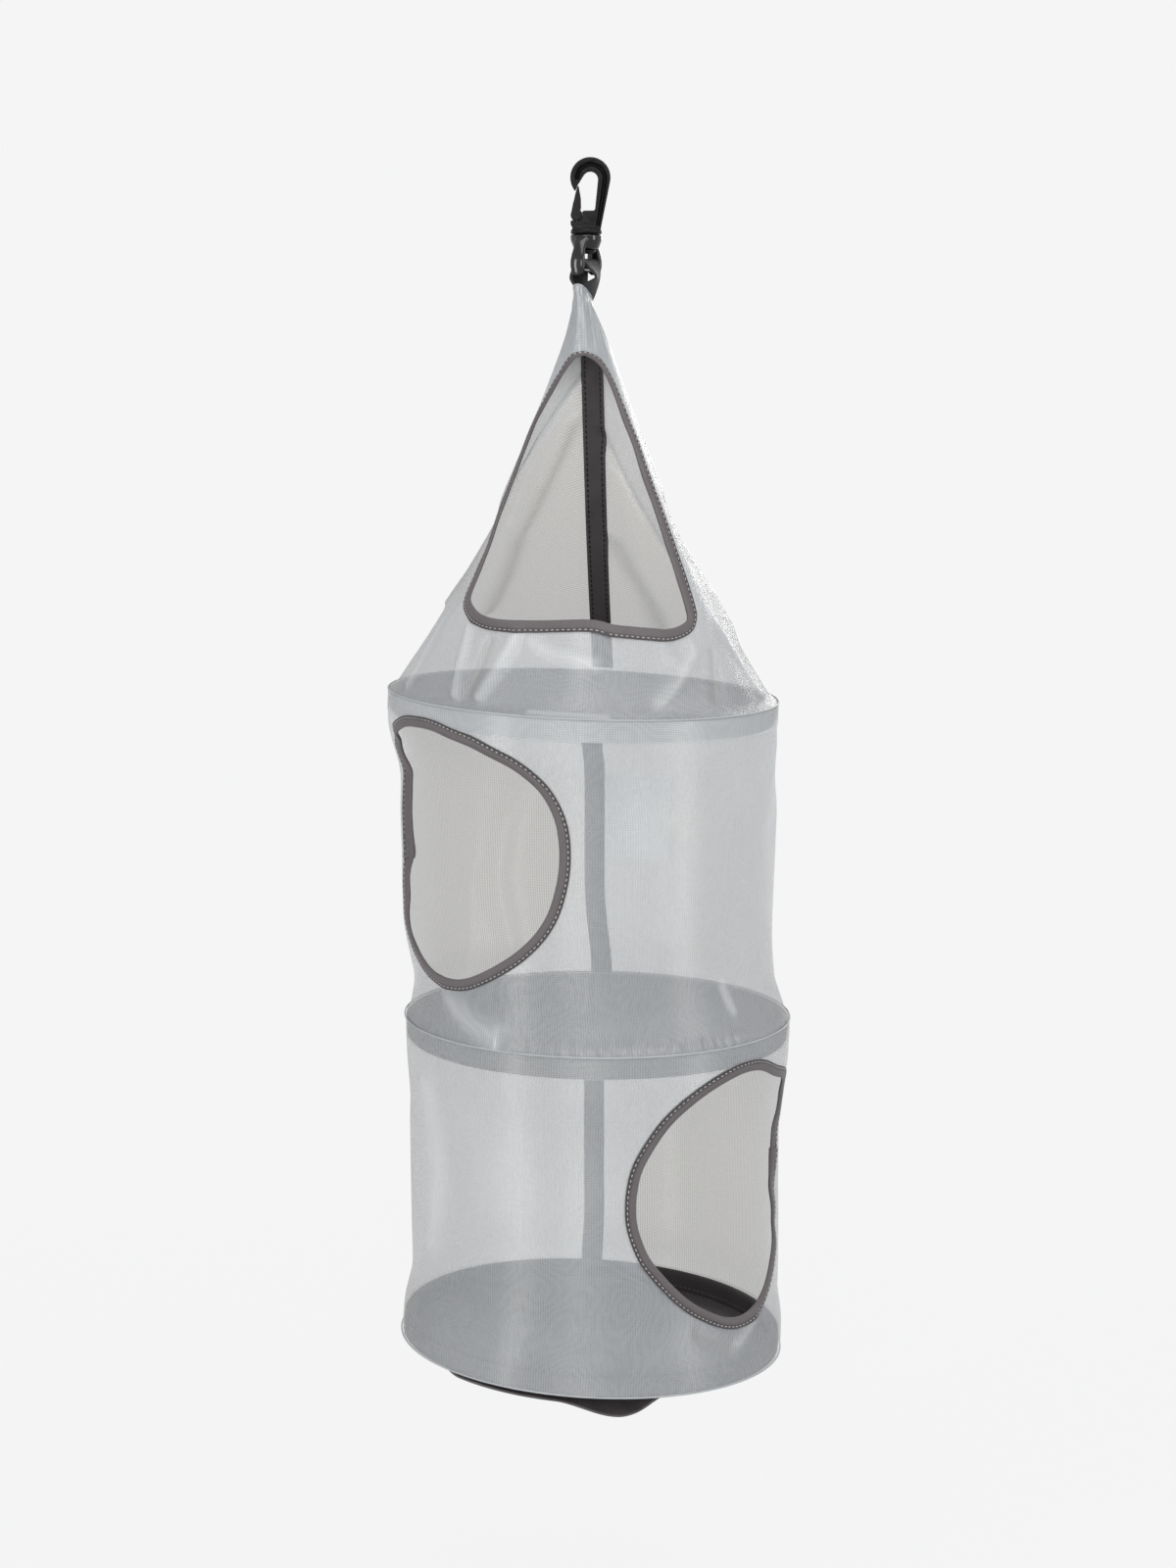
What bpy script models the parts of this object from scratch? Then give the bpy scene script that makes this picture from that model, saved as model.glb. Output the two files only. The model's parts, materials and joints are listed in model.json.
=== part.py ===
"""Hanging tent organizer: three mesh tiers on wire hoops, carried by a plastic swivel snap hook.

The origin is where the hook's crown sits on whatever the organizer hangs from. +Z is up, and -Y
is the side that the spire's window looks to. Angles round a tier are measured from -Y towards +X.
"""

import math

import bmesh
import bpy
from mathutils import Matrix, Vector
from mathutils.geometry import delaunay_2d_cdt

MM = 0.001

# Clearances
GAP = 0.3 * MM  # between two pieces that touch on the real one
CLOTH_GAP = 0.55 * MM  # between a hoop's channel and the mesh stretched over it
TRIM_GAP = 0.55 * MM  # between the mesh and the tape that binds it

# Snap hook, seen from the front
CROWN_RADIUS = 10.05 * MM  # outside of the crown
EYE_RADIUS = 3.95 * MM  # inside of the crown, whose top is the origin
EYE_LENGTH = 19.6 * MM
HOOK_THICKNESS = 8 * MM
HOOK_LENGTH = 29.4 * MM  # from the origin down to the flange
BLOCK_WIDTH = 14 * MM
SWIVEL_X = -2.1 * MM  # the swivel's axis stands a little left of the crown
POCKET_WIDTH = 2.4 * MM
POCKET_DEPTH = 2.2 * MM
FLANGE_RADIUS = 7.7 * MM
FLANGE_THICKNESS = 1.6 * MM

# Sprung tongue that closes the hook
TONGUE_X = -7 * MM
TONGUE_DROP = 21.7 * MM
TONGUE_ROOT_RADIUS = 2.9 * MM
TONGUE_TIP_DROP = 6.6 * MM
TONGUE_THICKNESS = 5.4 * MM

# Swivel: collar, two arms and a bar
POST_RADIUS = 3 * MM
POST_HEAD_RADIUS = 4.6 * MM
POST_HEAD_HEIGHT = 1.9 * MM
COLLAR_HEIGHT = 7.4 * MM
COLLAR_RADIUS = 8 * MM
COLLAR_FOOT_RADIUS = 6.4 * MM
BAR_TURN = math.radians(20)  # how far the bar is turned from pointing away from the viewer
BAR_RADIUS = 2.2 * MM
BAR_DROP = 8.6 * MM  # from the collar's foot to the bar's centre
ARM_THICKNESS = 3.4 * MM
ARM_WIDTH = 7.6 * MM

# Webbing loop, which flares towards its near edge and twists on its way down
WEBBING_WIDTH = 20 * MM
WEBBING_THICKNESS = 1.4 * MM
LOOP_DROP = 12.3 * MM  # from the bar's centre to where the two legs meet
LOOP_LEFT = (5 * MM, 3.4 * MM)  # the left leg's reach from the bar's axis, near and far
LOOP_RIGHT = (10.2 * MM, 3.6 * MM)
TAIL_LENGTH = 7.5 * MM  # sewn-together legs, inside the mesh
TAIL_SHIFT = -1.7 * MM
TAIL_TWIST = math.radians(7)
TAIL_SLANT = math.radians(23)  # the sewn end runs down towards its far edge

# Hoops and their channels
HOOP_RADIUS = 97 * MM
WIRE_RADIUS = 1.2 * MM
WIRE_DROP = 6 * MM  # from the ring line to the wire's centre
BUTT_GAP = 0.6 * MM  # between the wire's two ends, inside the ferrule
FERRULE_LENGTH = 18 * MM
FERRULE_WALL = 0.5 * MM
FERRULE_ANGLE = math.radians(160)
CHANNEL_HEIGHT = 10 * MM
TAPE_THICKNESS = 0.5 * MM
FLOOR_THICKNESS = 0.8 * MM
FLOOR_HEM = 9 * MM

# Mesh walls
MESH_THICKNESS = 0.5 * MM
APEX_DROP = 13.8 * MM  # from the bar's centre to the mesh's top edge
SPIRE_HEIGHT = 205.7 * MM
MIDDLE_HEIGHT = 168.9 * MM
LOWER_HEIGHT = 172.9 * MM
NECK_EASE = 2.1 * MM  # from the webbing's tail to the middle of the mesh round it
NECK_SHARE = 0.02  # of the spire's height, before it starts to open
NECK_FULLNESS = 0.71  # 1 is a straight cone
MIDDLE_WAIST = 4.6 * MM
LOWER_WAIST = 3.6 * MM
SPIRE_FOLD = 1.5 * MM
TUBE_FOLD = 0.9 * MM

# How the three rings hang: sideways shift and how far the right side dips
TOP_SHIFT = -3.6 * MM
MIDDLE_SHIFT = 3.7 * MM
BOTTOM_SHIFT = 0.4 * MM
TOP_TILT = math.radians(2.2)
MIDDLE_TILT = math.radians(0.6)
BOTTOM_TILT = math.radians(3)
LOWER_TUBE_SHIFT = 2.2 * MM  # the lower tube's middle, sideways

# Windows and their folded tape
BINDING_WIDTH = 6.5 * MM
SIDE_WINDOW_TOP = 17.8 * MM  # from the ring above to the opening
LEFT_WINDOW_ANGLE = math.radians(-46.5)
LEFT_WINDOW_SIZE = (121 * MM, 118 * MM)
LEFT_WINDOW_CORNER = 10 * MM
LEFT_WINDOW_SLACK = 0.6  # of the round corner under the straight edge: 0.71 is a true quarter round
RIGHT_WINDOW_ANGLE = math.radians(47.5)
RIGHT_WINDOW_SIZE = (120 * MM, 119.5 * MM)
RIGHT_WINDOW_CORNER = 22 * MM
RIGHT_WINDOW_SLACK = 0.42
FRONT_WINDOW_ANGLE = math.radians(-9)
FRONT_WINDOW_TOP = 31.5 * MM
FRONT_WINDOW_LEFT = (-64 * MM, 156 * MM)  # the base's corners: distance round, and down from the apex
FRONT_WINDOW_RIGHT = (73 * MM, 162.5 * MM)
FRONT_WINDOW_BULGES = (14 * MM, -1.5 * MM, 10 * MM)
FRONT_WINDOW_CORNER = 13 * MM

# Back seam, label and storage band
SEAM_WIDTH = 11.3 * MM
SEAM_THICKNESS = 0.6 * MM
SEAM_GAP = 0.8 * MM  # between the wall and what is sewn flat against its inside
SPIRE_SEAM_ANGLE = math.radians(174.5)
MIDDLE_SEAM_ANGLE = math.radians(178.5)
LOWER_SEAM_ANGLE = math.radians(180)
SPIRE_SEAM_START = 30 * MM
LABEL_WIDTH = 37 * MM
LABEL_HEIGHT = 47 * MM
LABEL_THICKNESS = 0.4 * MM
LABEL_DROP = 55 * MM
BAND_WIDTH = 18 * MM
BAND_THICKNESS = 1.2 * MM
BAND_SAG = 13.5 * MM
BAND_LEFT = (-60 * MM, -60 * MM)
BAND_RIGHT = (40 * MM, -78 * MM)

# Facets
RING_STEPS = 48
WALL_COLUMNS = 48
WALL_ROWS = 8
TURNED_STEPS = 24

# Heights that follow from the sizes above
FLANGE_Z = -HOOK_LENGTH
COLLAR_TOP_Z = FLANGE_Z - FLANGE_THICKNESS - GAP
COLLAR_FOOT_Z = COLLAR_TOP_Z - COLLAR_HEIGHT
BAR_Z = COLLAR_FOOT_Z - BAR_DROP
APEX_Z = BAR_Z - APEX_DROP
TOP_Z = APEX_Z - SPIRE_HEIGHT
MIDDLE_Z = TOP_Z - MIDDLE_HEIGHT
BOTTOM_Z = MIDDLE_Z - LOWER_HEIGHT
NECK_HALF_WIDTH = WEBBING_WIDTH / 2 + NECK_EASE
NECK_HALF_THICKNESS = WEBBING_THICKNESS + GAP / 2 + NECK_EASE
NECK_RADIUS = (NECK_HALF_WIDTH + NECK_HALF_THICKNESS) / 2
NECK_TURN = BAR_TURN - TAIL_TWIST
CHANNEL_HALF = WIRE_RADIUS + GAP + FERRULE_WALL + GAP
CHANNEL_OUTSIDE = HOOP_RADIUS + CHANNEL_HALF + TAPE_THICKNESS
RING_RADIUS = CHANNEL_OUTSIDE + CLOTH_GAP + MESH_THICKNESS / 2
SEWN_RADIUS = HOOP_RADIUS + 1.3 * MM  # where a wall stands on the floor of its tier
FLOOR_RADIUS = CHANNEL_OUTSIDE - 0.2 * MM
FLOOR_TOP = GAP + FLOOR_THICKNESS


def clear_scene():
    for leftover in list(bpy.data.objects):
        bpy.data.objects.remove(leftover)


def smooth_step(low, high, value):
    share = min(max((value - low) / (high - low), 0.0), 1.0)
    return share * share * (3 - 2 * share)


def mix(first, second, share):
    return first * (1 - share) + second * share


def outward(angle):
    """The level direction at this angle round a tier, where 0 is the front."""
    return Vector((math.sin(angle), -math.cos(angle), 0))


def arc(centre, radius, start, end, steps):
    """Points on an arc of a flat outline, with its angles in degrees."""
    turns = [math.radians(mix(start, end, k / steps)) for k in range(steps + 1)]
    return [Vector((centre[0] + radius * math.cos(a), centre[1] + radius * math.sin(a))) for a in turns]


# Objects and meshes


def world_matrix(thing):
    """Where an object or empty stands, worked out from its own placing and its parents'."""
    if thing.parent is None:
        return thing.matrix_basis.copy()
    return world_matrix(thing.parent) @ thing.matrix_parent_inverse @ thing.matrix_basis


def empty(name, place, parent=None):
    """An empty at a place given in the world, which a group of pieces hangs from."""
    thing = bpy.data.objects.new(name, None)
    bpy.context.collection.objects.link(thing)
    thing.parent = parent
    thing.matrix_basis = world_matrix(parent).inverted() @ place if parent else place
    return thing


def material(name, colour, roughness, metallic=0.0):
    made = bpy.data.materials.new(name)
    made.use_nodes = True
    shader = made.node_tree.nodes["Principled BSDF"]
    shader.inputs["Base Color"].default_value = (*colour, 1)
    shader.inputs["Roughness"].default_value = roughness
    shader.inputs["Metallic"].default_value = metallic
    return made


def new_object(name, mesh, parent, finish, in_world=True):
    """Links a mesh under its empty. Its points are in the world, or else in the empty's own frame."""
    mesh.name = name
    thing = bpy.data.objects.new(name, mesh)
    bpy.context.collection.objects.link(thing)
    if finish:
        thing.data.materials.append(finish)
    thing.parent = parent
    if in_world and parent:
        thing.matrix_parent_inverse = world_matrix(parent).inverted()
    return thing


def mesh_of(points, faces, smooth=False):
    """A closed mesh of these points and faces, with doubles merged and its faces pointing out."""
    shape = bmesh.new()
    corners = [shape.verts.new(p) for p in points]
    for face in faces:
        shape.faces.new([corners[k] for k in face])
    bmesh.ops.remove_doubles(shape, verts=shape.verts, dist=1e-7)
    bmesh.ops.recalc_face_normals(shape, faces=shape.faces)
    mesh = bpy.data.meshes.new("shape")
    shape.to_mesh(mesh)
    shape.free()
    if smooth:
        mesh.shade_smooth()
        mesh.set_sharp_from_angle(angle=math.radians(40))
    return mesh


def loft(rings, closed=False, smooth=True):
    """Skins closed profiles in turn, then caps the ends, or joins the last profile to the first."""
    count, around = len(rings), len(rings[0])
    points = [p for ring in rings for p in ring]
    faces = []
    for i in range(count if closed else count - 1):
        here, there = i * around, (i + 1) % count * around
        for k in range(around):
            n = (k + 1) % around
            faces.append((here + k, here + n, there + n, there + k))
    if not closed:
        faces.append(tuple(range(around)))
        faces.append(tuple(range((count - 1) * around, count * around)))
    return mesh_of(points, faces, smooth)


def turned(profile, steps=TURNED_STEPS):
    """Turns an open outline of (radius, height) points, whose ends may lie on the axis, round Z."""
    rings = []
    for k in range(steps):
        around = outward(math.tau * k / steps)
        rings.append([around * r + Vector((0, 0, z)) for r, z in profile])
    points = [p for ring in rings for p in ring]
    size = len(profile)
    faces = []
    for i in range(steps):
        here, there = i * size, (i + 1) % steps * size
        for k in range(size):
            n = (k + 1) % size
            corners = [here + k, here + n, there + n, there + k]
            distinct = [c for c in corners if points[c].xy.length > 1e-9]
            on_axis = [c for c in (here + k, here + n) if points[c].xy.length <= 1e-9]
            if len(on_axis) == 2:
                continue
            faces.append(tuple(c for c in corners if c in distinct or c in on_axis))
    return mesh_of(points, faces, smooth=True)


def slab(outline, depth):
    """Extrudes a flat (x, z) outline evenly to both sides of the plane y = 0."""
    shape = bmesh.new()
    corners = [shape.verts.new((x, -depth / 2, z)) for x, z in outline]
    face = shape.faces.new(corners)
    pulled = bmesh.ops.extrude_face_region(shape, geom=[face])
    moved = [v for v in pulled["geom"] if isinstance(v, bmesh.types.BMVert)]
    bmesh.ops.translate(shape, verts=moved, vec=(0, depth, 0))
    bmesh.ops.recalc_face_normals(shape, faces=shape.faces)
    mesh = bpy.data.meshes.new("shape")
    shape.to_mesh(mesh)
    shape.free()
    return mesh


def helper(name, mesh, parent):
    """A shape that only cuts or joins another: left out of the build."""
    thing = new_object(name, mesh, parent, None)
    thing.hide_render = True
    thing.display_type = "WIRE"
    return thing


def combine(thing, other, operation):
    change = thing.modifiers.new(f"{operation.lower()} {other.name}", "BOOLEAN")
    change.operation = operation
    change.solver = "EXACT"
    change.object = other


def round_edges(thing, width, angle=35):
    edge = thing.modifiers.new("rounded edges", "BEVEL")
    edge.width = width
    edge.segments = 2
    edge.limit_method = "ANGLE"
    edge.angle_limit = math.radians(angle)


# Snap hook


def hook_outline():
    """The hook from the front: a crown over a long eye, a nose on the left, a block at the foot."""
    crown = (0, -CROWN_RADIUS + (CROWN_RADIUS - EYE_RADIUS) + 0.85 * MM)
    eye = (0, -EYE_RADIUS)
    foot_left = SWIVEL_X - BLOCK_WIDTH / 2
    foot_right = SWIVEL_X + BLOCK_WIDTH / 2
    root = (TONGUE_X, -TONGUE_DROP)
    socket = TONGUE_ROOT_RADIUS + GAP
    points = [Vector((foot_right, FLANGE_Z - 0.5 * MM))]
    points += arc(crown, CROWN_RADIUS, -10, 208, 22)
    points.append(Vector((TONGUE_X - 0.7 * MM, -TONGUE_TIP_DROP - 3.2 * MM)))
    points.append(Vector((TONGUE_X + 0.5 * MM, -TONGUE_TIP_DROP - 0.2 * MM)))
    points += arc(eye, EYE_RADIUS, 148, -4, 12)
    points += arc((1.3 * MM, -EYE_LENGTH + 1.2 * MM), 1.2 * MM, -8, -90, 3)
    points.append(Vector((TONGUE_X + 3.9 * MM, -EYE_LENGTH)))
    points += arc(root, socket, 30, -128, 8)
    points.append(Vector((TONGUE_X - TONGUE_ROOT_RADIUS - 0.1 * MM, FLANGE_Z + 4.6 * MM)))
    points.append(Vector((TONGUE_X - TONGUE_ROOT_RADIUS + 0.1 * MM, FLANGE_Z + 2.8 * MM)))
    points.append(Vector((foot_left + 0.1 * MM, FLANGE_Z + 1.6 * MM)))
    points.append(Vector((foot_left, FLANGE_Z - 0.5 * MM)))
    return points


def rim_pocket(side):
    """The hollow between the rims of the crown and leg, on the front (-1) or the back (1)."""
    run = arc((0.2 * MM, -3.6 * MM), 7 * MM, 186, 0, 14)
    run.append(Vector((6.2 * MM, -12 * MM)))
    run.append(Vector((4.9 * MM, -20 * MM)))
    run.append(Vector((3.6 * MM, -27 * MM)))
    rings = []
    for k, point in enumerate(run):
        along = run[min(k + 1, len(run) - 1)] - run[max(k - 1, 0)]
        across = Vector((-along.y, along.x)).normalized() * POCKET_WIDTH / 2
        reach = side * (HOOK_THICKNESS / 2 + 1 * MM)
        floor = side * (HOOK_THICKNESS / 2 - POCKET_DEPTH)
        ring = [(point + across * e, y) for e, y in ((1, reach), (-1, reach), (-0.7, floor), (0.7, floor))]
        rings.append([Vector((flat.x, y, flat.y)) for flat, y in ring])
    return loft(rings, smooth=False)


def swivel_post():
    """Flange, post and snap-in head under the hook, turned about the swivel's axis."""
    head_top = COLLAR_FOOT_Z - GAP
    return turned(
        [
            (0, FLANGE_Z + 1.2 * MM),
            (FLANGE_RADIUS - 1 * MM, FLANGE_Z + 1.2 * MM),
            (FLANGE_RADIUS, FLANGE_Z),
            (FLANGE_RADIUS, FLANGE_Z - FLANGE_THICKNESS),
            (POST_RADIUS, FLANGE_Z - FLANGE_THICKNESS),
            (POST_RADIUS, head_top),
            (POST_HEAD_RADIUS, head_top),
            (POST_HEAD_RADIUS, head_top - POST_HEAD_HEIGHT / 2),
            (POST_HEAD_RADIUS - 1.4 * MM, head_top - POST_HEAD_HEIGHT),
            (0, head_top - POST_HEAD_HEIGHT),
        ]
    )


def make_hook(parent, plastic):
    body = new_object("hook_body", slab(hook_outline(), HOOK_THICKNESS), parent, plastic)
    round_edges(body, 0.9 * MM)
    for side, name in ((-1, "front_pocket"), (1, "back_pocket")):
        combine(body, helper(name, rim_pocket(side), parent), "DIFFERENCE")
    post = helper("post_shape", swivel_post(), parent)
    post.location.x = SWIVEL_X
    combine(body, post, "UNION")
    return body


def make_tongue(parent, plastic):
    """The springy tongue: a round root in the hook's socket and a taper up behind the nose."""
    root = Vector((TONGUE_X, -TONGUE_DROP))
    tip_outer = Vector((TONGUE_X + 0.45 * MM, -TONGUE_TIP_DROP - 1.2 * MM))
    tip_inner = Vector((TONGUE_X + 0.95 * MM, -TONGUE_TIP_DROP - 0.6 * MM))
    nose_foot = Vector((TONGUE_X - 0.6 * MM, -TONGUE_TIP_DROP - 5 * MM))
    shoulder = Vector((TONGUE_X - 1.1 * MM, -TONGUE_TIP_DROP - 7.4 * MM))
    inner_waist = Vector((TONGUE_X + 2.1 * MM, -TONGUE_TIP_DROP - 7 * MM))
    outline = [tip_outer, tip_inner, inner_waist, Vector((TONGUE_X + 2.2 * MM, -EYE_LENGTH + 1.3 * MM))]
    outline += arc(root, TONGUE_ROOT_RADIUS, 52, -208, 14)
    outline += [shoulder + Vector((-0.5 * MM, -1.6 * MM)), shoulder, nose_foot]
    tongue = new_object("hook_gate", slab(outline, TONGUE_THICKNESS), parent, plastic)
    round_edges(tongue, 0.4 * MM, angle=50)
    return tongue


# Swivel


def collar_shape():
    """A collar that narrows to its foot, with a bore for the post."""
    bore = POST_RADIUS + GAP
    return turned(
        [
            (bore, COLLAR_TOP_Z),
            (COLLAR_RADIUS - 0.8 * MM, COLLAR_TOP_Z),
            (COLLAR_RADIUS, COLLAR_TOP_Z - 0.8 * MM),
            (COLLAR_RADIUS - 0.2 * MM, COLLAR_TOP_Z - 3 * MM),
            (COLLAR_FOOT_RADIUS, COLLAR_FOOT_Z + 0.8 * MM),
            (COLLAR_FOOT_RADIUS - 0.8 * MM, COLLAR_FOOT_Z),
            (bore, COLLAR_FOOT_Z),
        ]
    )


def arm_shape(side):
    """One arm of the swivel, from the collar's flank out and down past the bar's end."""
    reach = WEBBING_WIDTH / 2 + 0.6 * MM + ARM_THICKNESS / 2
    fall = COLLAR_TOP_Z - BAR_Z
    stations = (
        (0.42, 0.10, 1.02, 1.5),
        (0.62, 0.24, 0.92, 1.25),
        (0.80, 0.42, 0.78, 1.0),
        (0.94, 0.62, 0.88, 1.0),
        (1.00, 0.82, 1.00, 1.0),
        (1.00, 1.00, 1.00, 1.0),
        (0.99, 1.20, 0.84, 0.85),
        (0.97, 1.27, 0.44, 0.55),
    )
    rings = []
    for out, down, wide, thick in stations:
        centre = Vector((0, side * reach * out, COLLAR_TOP_Z - fall * down))
        half_wide = ARM_WIDTH / 2 * wide
        half_thick = ARM_THICKNESS / 2 * thick
        ring = []
        for k in range(12):
            a = math.tau * k / 12
            squared = [math.copysign(abs(c) ** 0.7, c) for c in (math.cos(a), math.sin(a))]
            ring.append(centre + Vector((half_wide * squared[0], half_thick * squared[1], 0)))
        rings.append(ring)
    return loft(rings)


def bar_shape():
    reach = WEBBING_WIDTH / 2 + 0.6 * MM + ARM_THICKNESS / 2
    rings = []
    for y in (-reach, reach):
        ring = arc((0, BAR_Z), BAR_RADIUS, 0, 360, 12)[:-1]
        rings.append([Vector((p.x, y, p.y)) for p in ring])
    return loft(rings)


def make_swivel(parent, plastic):
    """Built with its bar along Y at the axis, and turned and placed by its empty."""
    collar = new_object("swivel_base", collar_shape(), parent, plastic, in_world=False)
    bore = helper("post_bore", loft([circle_ring(POST_RADIUS + GAP, z) for z in bore_ends()]), None)
    for side, name in ((-1, "near_arm"), (1, "far_arm")):
        arm = helper(name, arm_shape(side), None)
        attach(arm, parent)
        combine(collar, arm, "UNION")
    bar = helper("bar_shape", bar_shape(), None)
    attach(bar, parent)
    combine(collar, bar, "UNION")
    attach(bore, parent)
    combine(collar, bore, "DIFFERENCE")
    return collar


def bore_ends():
    return (COLLAR_TOP_Z + 1 * MM, COLLAR_FOOT_Z - GAP - POST_HEAD_HEIGHT - 1 * MM)


def circle_ring(radius, z, steps=TURNED_STEPS):
    return [outward(math.tau * k / steps) * radius + Vector((0, 0, z)) for k in range(steps)]


def attach(thing, parent):
    """Hangs a shape from an empty, in the empty's own frame."""
    thing.parent = parent
    thing.matrix_parent_inverse = Matrix()


# Webbing


def loop_profile(share):
    """The webbing's middle line, seen along the bar. share is 0 at its near edge and 1 at its far one."""
    ride = BAR_RADIUS + GAP + WEBBING_THICKNESS / 2
    leg = (WEBBING_THICKNESS + GAP) / 2
    across = (share - 0.5) * WEBBING_WIDTH
    tail = TAIL_SHIFT - across * math.tan(TAIL_TWIST)
    meet = -LOOP_DROP - across * math.tan(TAIL_SLANT)
    left, right = mix(*LOOP_LEFT, share), mix(*LOOP_RIGHT, share)
    line = [(tail - leg, meet - TAIL_LENGTH), (tail - leg, meet), (tail - leg - 0.9 * MM, meet + 1.1 * MM)]
    line += [(mix(tail - leg, -left, 0.7), meet * 0.72), (-left, -0.36 * LOOP_DROP)]
    line = [Vector(p) for p in line] + arc((0, 0), ride, 190, mix(30, -10, share), 9)
    ends = [(right, -0.36 * LOOP_DROP), (mix(tail + leg, right, 0.72), meet * 0.7)]
    ends += [(tail + leg + 0.9 * MM, meet + 1.1 * MM), (tail + leg, meet), (tail + leg, meet - TAIL_LENGTH)]
    return line + [Vector(p) for p in ends]


def ribbon(line, thickness):
    """A closed outline: the line set off by half its thickness to one side, and back on the other."""
    sides = ([], [])
    for k, point in enumerate(line):
        along = line[min(k + 1, len(line) - 1)] - line[max(k - 1, 0)]
        across = Vector((-along.y, along.x)).normalized() * thickness / 2
        sides[0].append(point + across)
        sides[1].append(point - across)
    return sides[0] + sides[1][::-1]


def make_webbing(parent, nylon):
    steps = 5
    rings = []
    for k in range(steps + 1):
        y = (k / steps - 0.5) * WEBBING_WIDTH
        outline = ribbon(loop_profile(k / steps), WEBBING_THICKNESS)
        rings.append([Vector((p.x, y, p.y)) for p in outline])
    return new_object("hanger_loop", loft(rings), parent, nylon, in_world=False)


# Rings: wire hoop, ferrule, channel tape and floor, each in its ring's own frame


def make_hoop(name, parent, steel, side):
    """Spring wire, bent round and butted inside its ferrule. side is -1 below the ring line."""
    half_gap = BUTT_GAP / 2 / HOOP_RADIUS
    steps = RING_STEPS
    rings = []
    for k in range(steps + 1):
        angle = FERRULE_ANGLE + half_gap + (math.tau - 2 * half_gap) * k / steps
        rings.append(wire_ring(angle, WIRE_RADIUS, 6, side))
    return new_object(name, loft(rings), parent, steel, in_world=False)


def wire_ring(angle, radius, count, side):
    """A round section of something that follows the hoop."""
    out = outward(angle)
    centre = out * HOOP_RADIUS + Vector((0, 0, side * WIRE_DROP))
    turns = [math.tau * (k + 0.5) / count for k in range(count)]
    return [centre + out * radius * math.cos(a) + Vector((0, 0, radius * math.sin(a))) for a in turns]


def make_ferrule(name, parent, steel, side):
    half = FERRULE_LENGTH / 2 / HOOP_RADIUS
    bore_radius = WIRE_RADIUS + GAP
    shapes = []
    for radius, reach in ((bore_radius + FERRULE_WALL, 1.0), (bore_radius, 1.15)):
        angles = [FERRULE_ANGLE + half * reach * (k / 3 - 1) for k in range(7)]
        shapes.append(loft([wire_ring(a, radius, 10, side) for a in angles]))
    ferrule = new_object(name, shapes[0], parent, steel, in_world=False)
    bore = helper(name + "_bore", shapes[1], None)
    attach(bore, parent)
    combine(ferrule, bore, "DIFFERENCE")
    return ferrule


def make_channel(name, parent, tape, side):
    """Tape folded round the hoop, its open edges against the floor. side is -1 where it hangs down."""
    inside, outside = CHANNEL_HALF, CHANNEL_HALF + TAPE_THICKNESS
    straight = CHANNEL_HEIGHT - outside
    section = [(outside, 0), (outside, straight), (0, CHANNEL_HEIGHT), (-outside, straight), (-outside, 0)]
    section += [(-inside, 0), (-inside, straight), (0, CHANNEL_HEIGHT - TAPE_THICKNESS), (inside, straight)]
    section += [(inside, 0)]
    start = 0 if side < 0 else GAP
    rings = []
    for k in range(RING_STEPS):
        out = outward(math.tau * k / RING_STEPS)
        rings.append([out * (HOOP_RADIUS + r) + Vector((0, 0, side * (h + start))) for r, h in section])
    return new_object(name, loft(rings, closed=True), parent, tape, in_world=False)


def make_floor(name, parent, fabric, underside):
    """A round shelf with a turned hem. underside is its lower face's height over the ring line."""
    top = underside + FLOOR_THICKNESS
    thin = underside + 0.6 * FLOOR_THICKNESS
    profile = [
        (0, thin),
        (FLOOR_RADIUS - FLOOR_HEM, thin),
        (FLOOR_RADIUS - FLOOR_HEM + 0.5 * MM, top),
        (FLOOR_RADIUS, top),
        (FLOOR_RADIUS, underside),
        (0, underside),
    ]
    return new_object(name, turned(profile, RING_STEPS), parent, fabric, in_world=False)


# Walls


class Tier:
    """One mesh wall between two rings, as a surface of (angle, share of its height, distance out)."""

    def __init__(self, upper, lower, height, middle_shift, waist, fold, seam):
        self.upper, self.lower = upper, lower
        self.height, self.middle_shift = height, middle_shift
        self.waist, self.fold, self.seam = waist, fold, seam

    def radius(self, share):
        """The mean radius, which turns a distance round the wall into an angle."""
        return RING_RADIUS - self.waist

    def flat(self, angle, share):
        """Where a point of the wall lies on its flat pattern."""
        return Vector((angle * self.radius(share), share * self.height))

    def pinch(self, share):
        """How far the wall is drawn in: nothing beside a channel, most above the lower ring."""
        rows = self.rows()
        rise = smooth_step(rows[1], rows[1] + 0.2, share)
        end = 1 if self.lower.stands_on_floor else rows[-2]
        return self.waist * rise * smooth_step(end, end - 0.14, share) * mix(0.7, 1.0, share)

    def rows(self):
        """Shares of the height that the wall's mesh is split at, with one beside each channel's end."""
        first = 1.3 * CHANNEL_HEIGHT / self.height
        last = 1 if self.lower.stands_on_floor else 1 - first
        return [0] + [mix(first, last, k / WALL_ROWS) for k in range(WALL_ROWS)] + sorted({last, 1})

    def folds(self, angle, share):
        swell = smooth_step(0.08, 0.35, share) * smooth_step(0.93, 0.65, share)
        waves = 0.6 * math.sin(5 * angle + 0.8) + 0.4 * math.sin(9 * angle + 2.1 + 1.5 * share)
        return self.fold * swell * waves

    def point(self, angle, share, out=0.0):
        """Beside each ring the wall follows that ring's own axis; between them it leans across."""
        rows = self.rows()
        lean = smooth_step(rows[1], rows[-2], share)
        drop = share * self.height
        place = self.upper.at(angle, -drop).lerp(self.lower.at(angle, self.height - drop), lean)
        centre = self.upper.middle(-drop).lerp(self.lower.middle(self.height - drop), lean)
        free = smooth_step(rows[1], 0.35, share) * smooth_step(rows[-2], 0.65, share)
        place.x += (self.middle_shift - centre.x) * free
        return place + outward(angle) * (out + self.folds(angle, share) - self.pinch(share))


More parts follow.
